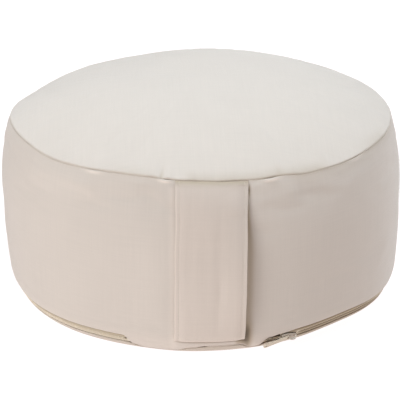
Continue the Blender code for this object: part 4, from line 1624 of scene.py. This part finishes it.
@dataclass
class LowerEdge:
    """What fills the recess between the side's hem and the base's edge."""

    left: ClassVar[float] = -22.5
    right: ClassVar[float] = 13.5
    # The zip is open from its right end to the slider, where the side's recess is painted near-black as
    # shade, and it is sunk and painted in shade right of the slider.
    opened: ClassVar[Span] = Span(right, 2.5, 20.6, 1.0)
    shaded: ClassVar[Span] = Span(24.0, 3.0, 78.0, 28.0)
    slider_at: float = 22.5
    end_gap: float = 0.2
    tape: float = 0.55 * MM
    tape_cut: float = 12.0 * MM
    tape_radius: float = 0.160
    parting: float = 0.8
    tape_shade: float = 0.75
    # The rows of a tape that show, in millimetres from its cloth's edge and over the band, and how much
    # painted shade those of each tape have.
    seen_rows: Sequence[tuple[float, float]] = (
        (0.1, -1.62), (0.4, -1.15), (0.9, -0.80), (2.0, -0.85), (3.2, -1.42),
    )
    upper_tape_shade: Sequence[float] = (1.0, 1.0, 0.7, 0.1, 0.0)
    lower_tape_shade: Sequence[float] = (0.2, 0.2, 0.0, 0.0, 0.0)
    strip: float = 0.8 * MM
    strip_cut: tuple[float, float] = (0.026, 0.100)
    strip_sink: float = 0.25 * MM
    # In degrees of the edge: the strip swells where the slit is wider than `slit`, fully so once it is
    # wider than that by `slit_over`.
    slit: float = 3.0
    slit_over: float = 1.5
    swell: Spot = Spot(0.5, 2.4)
    coil_radius: float = 0.1595
    coil_middle: float = 3.9 * MM
    coil_level: float = -0.45 * MM
    coil_parting: float = 1.7 * MM
    coil_sink: float = 1.15 * MM
    tooth_length: float = 2.1 * MM
    tooth_pitch: float = 1.15 * MM
    tooth_width: float = 0.96 * MM
    tooth_height: float = 0.85 * MM
    tooth_apart: float = 0.42

    @staticmethod
    def _ribbon(line: Array, thickness: float) -> Array:
        """A closed section of a thickness on both sides of a line of (radius, height)."""
        run = unit(np.gradient(line, axis=0))
        normal = np.stack((run[:, 1], -run[:, 0]), axis=-1) * thickness / 2.0
        return np.concatenate((line + normal, (line - normal)[::-1]))

    def _tape(self, upper: bool, azimuths: Array) -> tuple[Array, Array]:
        """One tape, from its end behind the cloth to its edge beside the coil.

        Args:
            upper: True for the side panel's tape, False for the base panel's.
            azimuths: Where each loop stands.

        Returns:
            The tape's loops, and the painted shade on each of their points.
        """
        hidden = (2.5, DRUM.hem_angle - 0.6) if upper else (58.0, DRUM.base_edge_angle + 0.6)
        tongue = DRUM.edge(np.linspace(*hidden, 9), UNDER_CLOTH + self.tape / 2.0)
        reach, level = np.array(self.seen_rows).T * MM
        sections = []
        for share in self.opened.at(azimuths):
            ends = reach * (1.0 - self.parting * share)
            along = ends if upper else 2.0 * self.coil_middle - ends
            seen = DRUM.band(along, level + (level.min() - level) * share)
            sections.append(self._ribbon(np.concatenate((tongue, seen)), self.tape))
        loops = np.swapaxes(DRUM.turned(np.stack(sections, axis=1), azimuths), 0, 1)
        # Painted shade under the hem, and on the tapes right of the slider.
        edge = np.concatenate((np.ones(len(tongue)), self.upper_tape_shade if upper else self.lower_tape_shade))
        shade = self.tape_shade * self.shaded.at(azimuths)[:, None]
        return loops, np.maximum(shade, np.concatenate((edge, edge[::-1]))[None, :])

    def tapes(self, shop: EffectShop) -> None:
        """Builds and dresses the zip's two tapes."""
        span = 360.0 - (self.right - self.left) - 2.0 * self.end_gap
        steps = np.concatenate((np.linspace(0.0, 12.0, 49)[:-1], np.linspace(12.0, span, 360)))
        for upper, name in ((True, "zip_tape_upper"), (False, "zip_tape_lower")):
            loops, painted_shade = self._tape(upper, self.right + self.end_gap + steps)
            piece = tube_mesh(name + "_cloth", loops, wrapped_map(loops, around_first=False), painted_shade=painted_shade)
            dress(piece, ZIP_TAPE.material(shop))
            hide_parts(name)

    def closing_strip(self, shop: EffectShop) -> None:
        """Builds and dresses the strip of cloth at the front, seen in the slit over the base's edge."""
        azimuths = np.linspace(self.left + self.end_gap, self.right - self.end_gap, 110)
        angles = np.linspace(2.5, 58.0, 40)
        hem, rim = HEM_LINE.at(azimuths), RIM_LINE.at(azimuths)
        opening = smooth((rim - hem - self.slit) / self.slit_over)
        swell = opening * self.swell.at(angles[:, None] - (hem + rim) / 2.0)
        hidden = UNDER_CLOTH + self.strip / 2.0
        depths = hidden - (hidden - self.strip / 2.0 - self.strip_sink) * swell
        lines = [self._ribbon(DRUM.edge(angles, column), self.strip) for column in depths.T]
        loops = np.swapaxes(DRUM.turned(np.stack(lines, axis=1), azimuths), 0, 1)
        # Painted shade where the strip lies hidden, none where it swells into the slit.
        painted_shade = 1.0 - np.concatenate((swell.T, swell.T[:, ::-1]), axis=1)
        piece = tube_mesh("closing_strip_cloth", loops, wrapped_map(loops, around_first=False), painted_shade=painted_shade)
        dress(piece, STRIP_CLOTH.material(shop))
        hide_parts("closing_strip")

    def _tooth(self, azimuth: float, side: float) -> Array:
        """One turn of the coil: its middle and its three axes, in the upper row (-1) or the lower (1)."""
        place = np.array((azimuth,))
        apart, sunk = float(self.opened.at(azimuth)), float(self.shaded.at(azimuth))
        offset = side * (self.tooth_apart * self.tooth_length + self.coil_parting * apart)
        along = self.coil_middle + offset + np.array((-0.5, 0.5)) * self.tooth_length
        height = self.coil_level - self.coil_parting * apart - self.coil_sink * sunk
        ends, over = (
            DRUM.turned(DRUM.band(along, np.full(2, level)), place)[:, 0]
            for level in (height, height + 0.5 * MM)
        )
        run = ends[1] - ends[0]
        outward = unit(over.mean(axis=0) - ends.mean(axis=0))
        across = np.cross(outward, unit(run))
        return np.array((ends.mean(axis=0), run, across * self.tooth_width, outward * self.tooth_height))

    def coil(self, shop: EffectShop) -> None:
        """The zip's two rows of coil turns, closed to the slider and apart beyond it."""
        pitch = math.degrees(self.tooth_pitch / self.coil_radius)
        count = int((360.0 - (self.right - self.left) - 2.0) / pitch)
        rows = [(index, side) for index in range(count) for side in (-1.0, 1.0)]
        teeth = [self._tooth(self.right + 1.0 + (index + 0.25 * side) * pitch, side) for index, side in rows]
        piece = many("zip_coil_turns", teeth)
        dress(piece, COIL_NYLON.material(shop))
        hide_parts("zip_coil")

    def station(self, azimuth: float) -> Matrix:
        """A place on the coil: X towards the zip's right, Y up across the zip, Z out of the cushion."""
        half, level = 1.2 * MM, -0.2 * MM
        middle = DRUM.band((self.coil_middle - half, self.coil_middle + half), (level, level))
        up = unit(middle[0] - middle[1])
        turn = math.radians(azimuth)
        forward = Vector((math.sin(turn), -math.cos(turn), 0.0))
        x_axis = Vector((math.cos(turn), math.sin(turn), 0.0))
        y_axis = forward * up[0] + Vector((0.0, 0.0, up[1]))
        z_axis = x_axis.cross(y_axis)
        place = Vector(DRUM.turned(middle.mean(axis=0)[None], np.array((azimuth,)))[0, 0])
        axes = Matrix((x_axis, y_axis, z_axis)).transposed().to_4x4()
        return Matrix.Translation(place + z_axis * GAP) @ axes


# ---- slider and pull


def only(piece: Piece) -> None:
    """Selects one object and makes it the active one."""
    bpy.ops.object.select_all(action="DESELECT")
    piece.select_set(True)
    bpy.context.view_layer.objects.active = piece


def apply_modifier(piece: Piece, kind: str, **settings: object) -> None:
    """Adds a modifier with its settings and applies it."""
    only(piece)
    modifier = piece.modifiers.new(kind, kind)
    for key, value in settings.items():
        setattr(modifier, key, value)
    bpy.ops.object.modifier_apply(modifier=modifier.name)


def combine(piece: Piece, operation: str, other: Piece) -> None:
    """Joins another shape to a piece, or cuts it away, and removes that shape."""
    apply_modifier(piece, "BOOLEAN", operation=operation, object=other)
    bpy.data.objects.remove(other)


def round_edges(piece: Piece, width: float, segments: int) -> None:
    """Rounds the sharp edges of a piece."""
    limit = math.radians(50.0)
    apply_modifier(piece, "BEVEL", width=width, segments=segments, limit_method="ANGLE", angle_limit=limit)


def flat_disc(name: str, vertices: int, radius: float) -> Piece:
    """A flat disc as the start of a piece."""
    bpy.ops.object.select_all(action="DESELECT")
    bpy.ops.mesh.primitive_circle_add(vertices=vertices, radius=radius, fill_type="NGON")
    bpy.context.active_object.name = name
    return bpy.context.active_object


def box_at(
    name: str, middle: Triple, size: Triple, cuts: int = 0
) -> Piece:
    """A box as the start of a piece.

    Args:
        name: The piece's name.
        middle: Where its middle is.
        size: Its three edges.
        cuts: How often each edge is cut across.

    Returns:
        The box.
    """
    bpy.ops.object.select_all(action="DESELECT")
    bpy.ops.mesh.primitive_cube_add(size=1.0, location=middle)
    piece = bpy.context.active_object
    piece.name = name
    piece.scale = size
    bpy.ops.object.transform_apply(location=True, rotation=False, scale=True)
    if cuts:
        bpy.ops.object.mode_set(mode="EDIT")
        bpy.ops.mesh.select_all(action="SELECT")
        bpy.ops.mesh.subdivide(number_cuts=cuts)
        bpy.ops.object.mode_set(mode="OBJECT")
    return piece


def drill(piece: Piece, x: float, radius: float) -> None:
    """Cuts a round hole along Z through a piece on its X axis."""
    bpy.ops.object.select_all(action="DESELECT")
    bpy.ops.mesh.primitive_cylinder_add(vertices=24, radius=radius, depth=0.02, location=(x, 0.0, 0.0))
    combine(piece, "DIFFERENCE", bpy.context.active_object)


def set_in_place(piece: Piece, place: Matrix, angle: float = 40.0) -> None:
    """Moves a piece's mesh to its place and shades it, with its sharp edges kept."""
    piece.data.transform(place)
    piece.data.update()
    only(piece)
    bpy.ops.object.shade_smooth_by_angle(angle=math.radians(angle))


@dataclass
class ZipSlider:
    """The slider: a plate wide at its nose, side flanges, and the bridge that holds the pull."""

    length: float = 13.0 * MM
    width: float = 6.4 * MM
    plate: float = 1.2 * MM
    edge_round: float = 0.22 * MM
    tail_share: float = 0.60
    tail_from: float = -0.15
    tail_over: float = 0.6
    # How much both ends are rounded, from which share of the length, and over how much of it.
    end_round: float = 0.45
    end_from: float = 0.34
    end_over: float = 0.16
    mouth: float = 1.1 * MM
    mouth_from: float = -0.3
    mouth_over: float = 0.2
    mouth_width: Spot = Spot(0.0, 0.28)
    side_fold: float = 0.4125 * MM
    rib: float = 0.12 * MM
    rib_at: Spot = Spot(0.70, 0.12)
    bridge_at: float = 0.17
    bridge_reach: float = 0.25
    bridge_height: float = 4.0 * MM
    bridge_wire: float = 1.2 * MM
    bridge_round: float = 0.2 * MM
    bridge_foot: float = 0.14
    bridge_sink: float = 0.3 * MM

    @property
    def leg(self) -> float:
        """Where the bridge's left leg stands on the slider's X axis."""
        return self.length * (self.bridge_at - self.bridge_reach)

    def build(self, place: Matrix, shop: EffectShop) -> None:
        """Builds and dresses the slider at its place."""
        size = (self.length, self.width, self.plate)
        body = box_at("zip_slider_body", (0.0, 0.0, self.plate / 2.0), size, cuts=11)
        for vertex in body.data.vertices:
            self._shape(vertex.co)
        round_edges(body, self.edge_round, 3)
        combine(body, "UNION", self._bridge())
        set_in_place(body, place)
        dress(body, SLIDER_PAINT.material(shop))
        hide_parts("zip_slider")

    def _shape(self, point: Vector) -> None:
        """Moves one point of the box to the slider's outline, with its two mouths and folded sides."""
        along = point.x / self.length
        across = 2.0 * point.y / self.width
        narrowing = 1.0 - (1.0 - self.tail_share) * float(smooth((along - self.tail_from) / self.tail_over))
        rounding = 1.0 - self.end_round * max(0.0, (abs(along) - self.end_from) / self.end_over) ** 2.5
        mouth = self.mouth * max(0.0, self.mouth_from - along) / self.mouth_over * self.mouth_width.at(across)
        if point.z > 0.4 * self.plate:
            point.z -= self.side_fold * abs(across) ** 6 - self.rib * self.rib_at.at(abs(across))
        point.x += mouth
        point.y *= narrowing * rounding

    def _bridge(self) -> Piece:
        """The bridge: a bar up and over from the middle of the plate to its tail."""
        height, half = self.bridge_height, self.length * self.bridge_reach
        bridge = box_at("bridge", (0.0, 0.0, height / 2.0), (2.0 * half, self.bridge_wire, height), cuts=9)
        for vertex in bridge.data.vertices:
            share = min(1.0, abs(vertex.co.x) / half)
            vertex.co.z *= (1.0 - share**4) ** 0.5 * 0.96 + self.bridge_foot
            vertex.co.y *= 1.0 + 0.35 * share**2
        opening = box_at("opening", (0.0, 0.0, 0.30 * height), (2.0 * half - 2.0 * MM, 0.01, 0.80 * height))
        combine(bridge, "DIFFERENCE", opening)
        round_edges(bridge, self.bridge_round, 2)
        bridge.data.transform(Matrix.Translation((self.length * self.bridge_at, 0.0, self.bridge_sink)))
        return bridge


@dataclass
class ZipPull:
    """The long flat pull, with an eye round the bridge's leg and a small hole at its wide end."""

    length: float = 24.0 * MM
    width: float = 4.6 * MM
    neck: float = 3.8 * MM
    thickness: float = 0.9 * MM
    edge_round: float = 0.18 * MM
    eye: float = 1.2 * MM
    hole: float = 0.9 * MM
    drop: float = 9.0
    swing_out: float = 4.0

    def build(self, place: Matrix, leg: float, lift: float, shop: EffectShop) -> None:
        """Builds and dresses the pull.

        Args:
            place: The slider's place.
            leg: Where the bridge's leg stands on the slider's X axis.
            lift: The pull's height over the slider's foot.
            shop: The shared effects.
        """
        half = self.width / 2.0
        tab = flat_disc("zip_pull_tab", 36, half)
        for vertex in tab.data.vertices:
            if vertex.co.x < -0.01 * half:
                vertex.co.x -= self.length - self.width
            else:
                vertex.co *= self.neck / self.width
        bpy.ops.object.mode_set(mode="EDIT")
        bpy.ops.mesh.select_all(action="SELECT")
        bpy.ops.mesh.extrude_region_move(TRANSFORM_OT_translate={"value": (0.0, 0.0, self.thickness)})
        bpy.ops.mesh.select_all(action="SELECT")
        bpy.ops.mesh.normals_make_consistent(inside=False)
        bpy.ops.object.mode_set(mode="OBJECT")
        tab.data.transform(Matrix.Translation((0.0, 0.0, -self.thickness / 2.0)))
        drill(tab, 0.0, self.eye)
        drill(tab, self.width - self.length, self.hole)
        round_edges(tab, self.edge_round, 3)
        drop = Matrix.Rotation(math.radians(self.drop), 4, "Z")
        swing = Matrix.Rotation(math.radians(self.swing_out), 4, "Y")
        set_in_place(tab, place @ Matrix.Translation((leg, 0.0, lift)) @ drop @ swing)
        dress(tab, PULL_PAINT.material(shop))
        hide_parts("zip_pull")


# ---- studio


@dataclass(frozen=True)
class Softbox:
    """A square area light.

    Args:
        name: Its name.
        place: Where it stands.
        size: Its edge.
        power: Its power in watts.
        colour: Its colour.
    """

    name: str
    place: Triple
    size: float
    power: float
    colour: Colour


@dataclass
class Studio:
    """The camera, the floor and the soft light."""

    distance: float = 1.5
    elevation: float = 22.0
    azimuth: float = -2.6
    target: Triple = (0.0, 0.0, 0.0725)
    focal_pixels: float = 1794.0
    image_pixels: float = 400.0
    sensor: float = 36.0
    middle_pixel: tuple[float, float] = (201.0, 193.0)
    floor_radius: float = 4.0
    floor_drop: float = 0.1 * MM
    paper: Colour = (0.12, 0.12, 0.12)
    paper_glow: Colour = (0.985, 0.945, 0.948)
    paper_roughness: float = 0.9
    sky: Colour = (0.08, 0.08, 0.08)
    lights: Sequence[Softbox] = (
        Softbox("key_softbox", (-2.2, -1.9, 2.0), 1.2, 66.6, (0.88, 0.95, 1.0)),
        Softbox("top_softbox", (0.0, 0.3, 4.0), 3.0, 39.0, (0.80, 0.91, 1.0)),
        Softbox("right_softbox", (1.6, 0.3, 3.6), 2.4, 113.0, (0.80, 0.91, 1.0)),
        Softbox("back_softbox", (0.2, 3.0, 2.6), 2.4, 38.2, (0.80, 0.91, 1.0)),
    )

    def build(self) -> None:
        """Sets up the camera, the lights and the floor."""
        scene = bpy.context.scene
        scene.camera = self._camera()
        for light in self.lights:
            self._light(light)
        scene.world = scene.world or bpy.data.worlds.new("soft_sky")
        scene.world.use_nodes = True
        sky = scene.world.node_tree.nodes["Background"]
        sky.inputs["Color"].default_value = (*self.sky, 1.0)
        sky.inputs["Strength"].default_value = 1.0
        self._floor()
        scene.view_settings.view_transform = "Standard"

    def _camera(self) -> Piece:
        """The camera at the photograph's viewing angle."""
        data = bpy.data.cameras.new("camera")
        camera = new_object("camera", data)
        data.sensor_width = self.sensor
        data.lens = self.focal_pixels / self.image_pixels * self.sensor
        data.shift_x = -(self.middle_pixel[0] - self.image_pixels / 2.0) / self.image_pixels
        data.shift_y = (self.middle_pixel[1] - self.image_pixels / 2.0) / self.image_pixels
        turn, rise = math.radians(self.azimuth), math.radians(self.elevation)
        back = Vector((math.sin(turn) * math.cos(rise), -math.cos(turn) * math.cos(rise), math.sin(rise)))
        side = Vector((0.0, 0.0, 1.0)).cross(back).normalized()
        axes = Matrix((side, back.cross(side), back)).transposed().to_4x4()
        camera.matrix_world = Matrix.Translation(Vector(self.target) + back * self.distance) @ axes
        return camera

    def _light(self, light: Softbox) -> None:
        """One soft light that faces the cushion."""
        data = bpy.data.lights.new(light.name, "AREA")
        data.size = light.size
        data.energy = light.power
        data.color = light.colour
        lamp = new_object(light.name, data)
        aim = (Vector(self.target) - Vector(light.place)).to_track_quat("-Z", "Y")
        lamp.matrix_world = Matrix.Translation(light.place) @ aim.to_matrix().to_4x4()

    def _floor(self) -> None:
        """The plain pale floor."""
        floor = flat_disc("studio_floor", 96, self.floor_radius)
        floor.data.transform(Matrix.Translation((0.0, 0.0, -self.floor_drop)))
        material, nodes, shader = empty_material("studio_paper")
        nodes.feed_all(
            shader, Base_Color=(*self.paper, 1.0), Roughness=self.paper_roughness,
            Emission_Color=(*self.paper_glow, 1.0), Emission_Strength=1.0,
        )
        floor.data.materials.append(material)


def main() -> None:
    """Builds the studio, then the cushion piece by piece."""
    logging.basicConfig(level=logging.INFO, format="%(name)s: %(message)s")
    Studio().build()
    shop = EffectShop()
    filling = PackedFilling()
    SidePanel(filling).build(shop)
    TopPanel(filling).build(shop)
    BasePanel().build(shop)
    strap = CarryStrap()
    strap_piece = strap.build(shop)
    strap.stitches(shop)
    edge = LowerEdge()
    edge.closing_strip(shop)
    edge.tapes(shop)
    edge.coil(shop)
    slider = ZipSlider()
    place = edge.station(edge.slider_at)
    slider.build(place, shop)
    pull = ZipPull()
    pull.build(place, slider.leg, slider.plate + GAP + pull.thickness / 2.0, shop)
    bpy.context.view_layer.update()


if __name__ == "__main__":
    main()
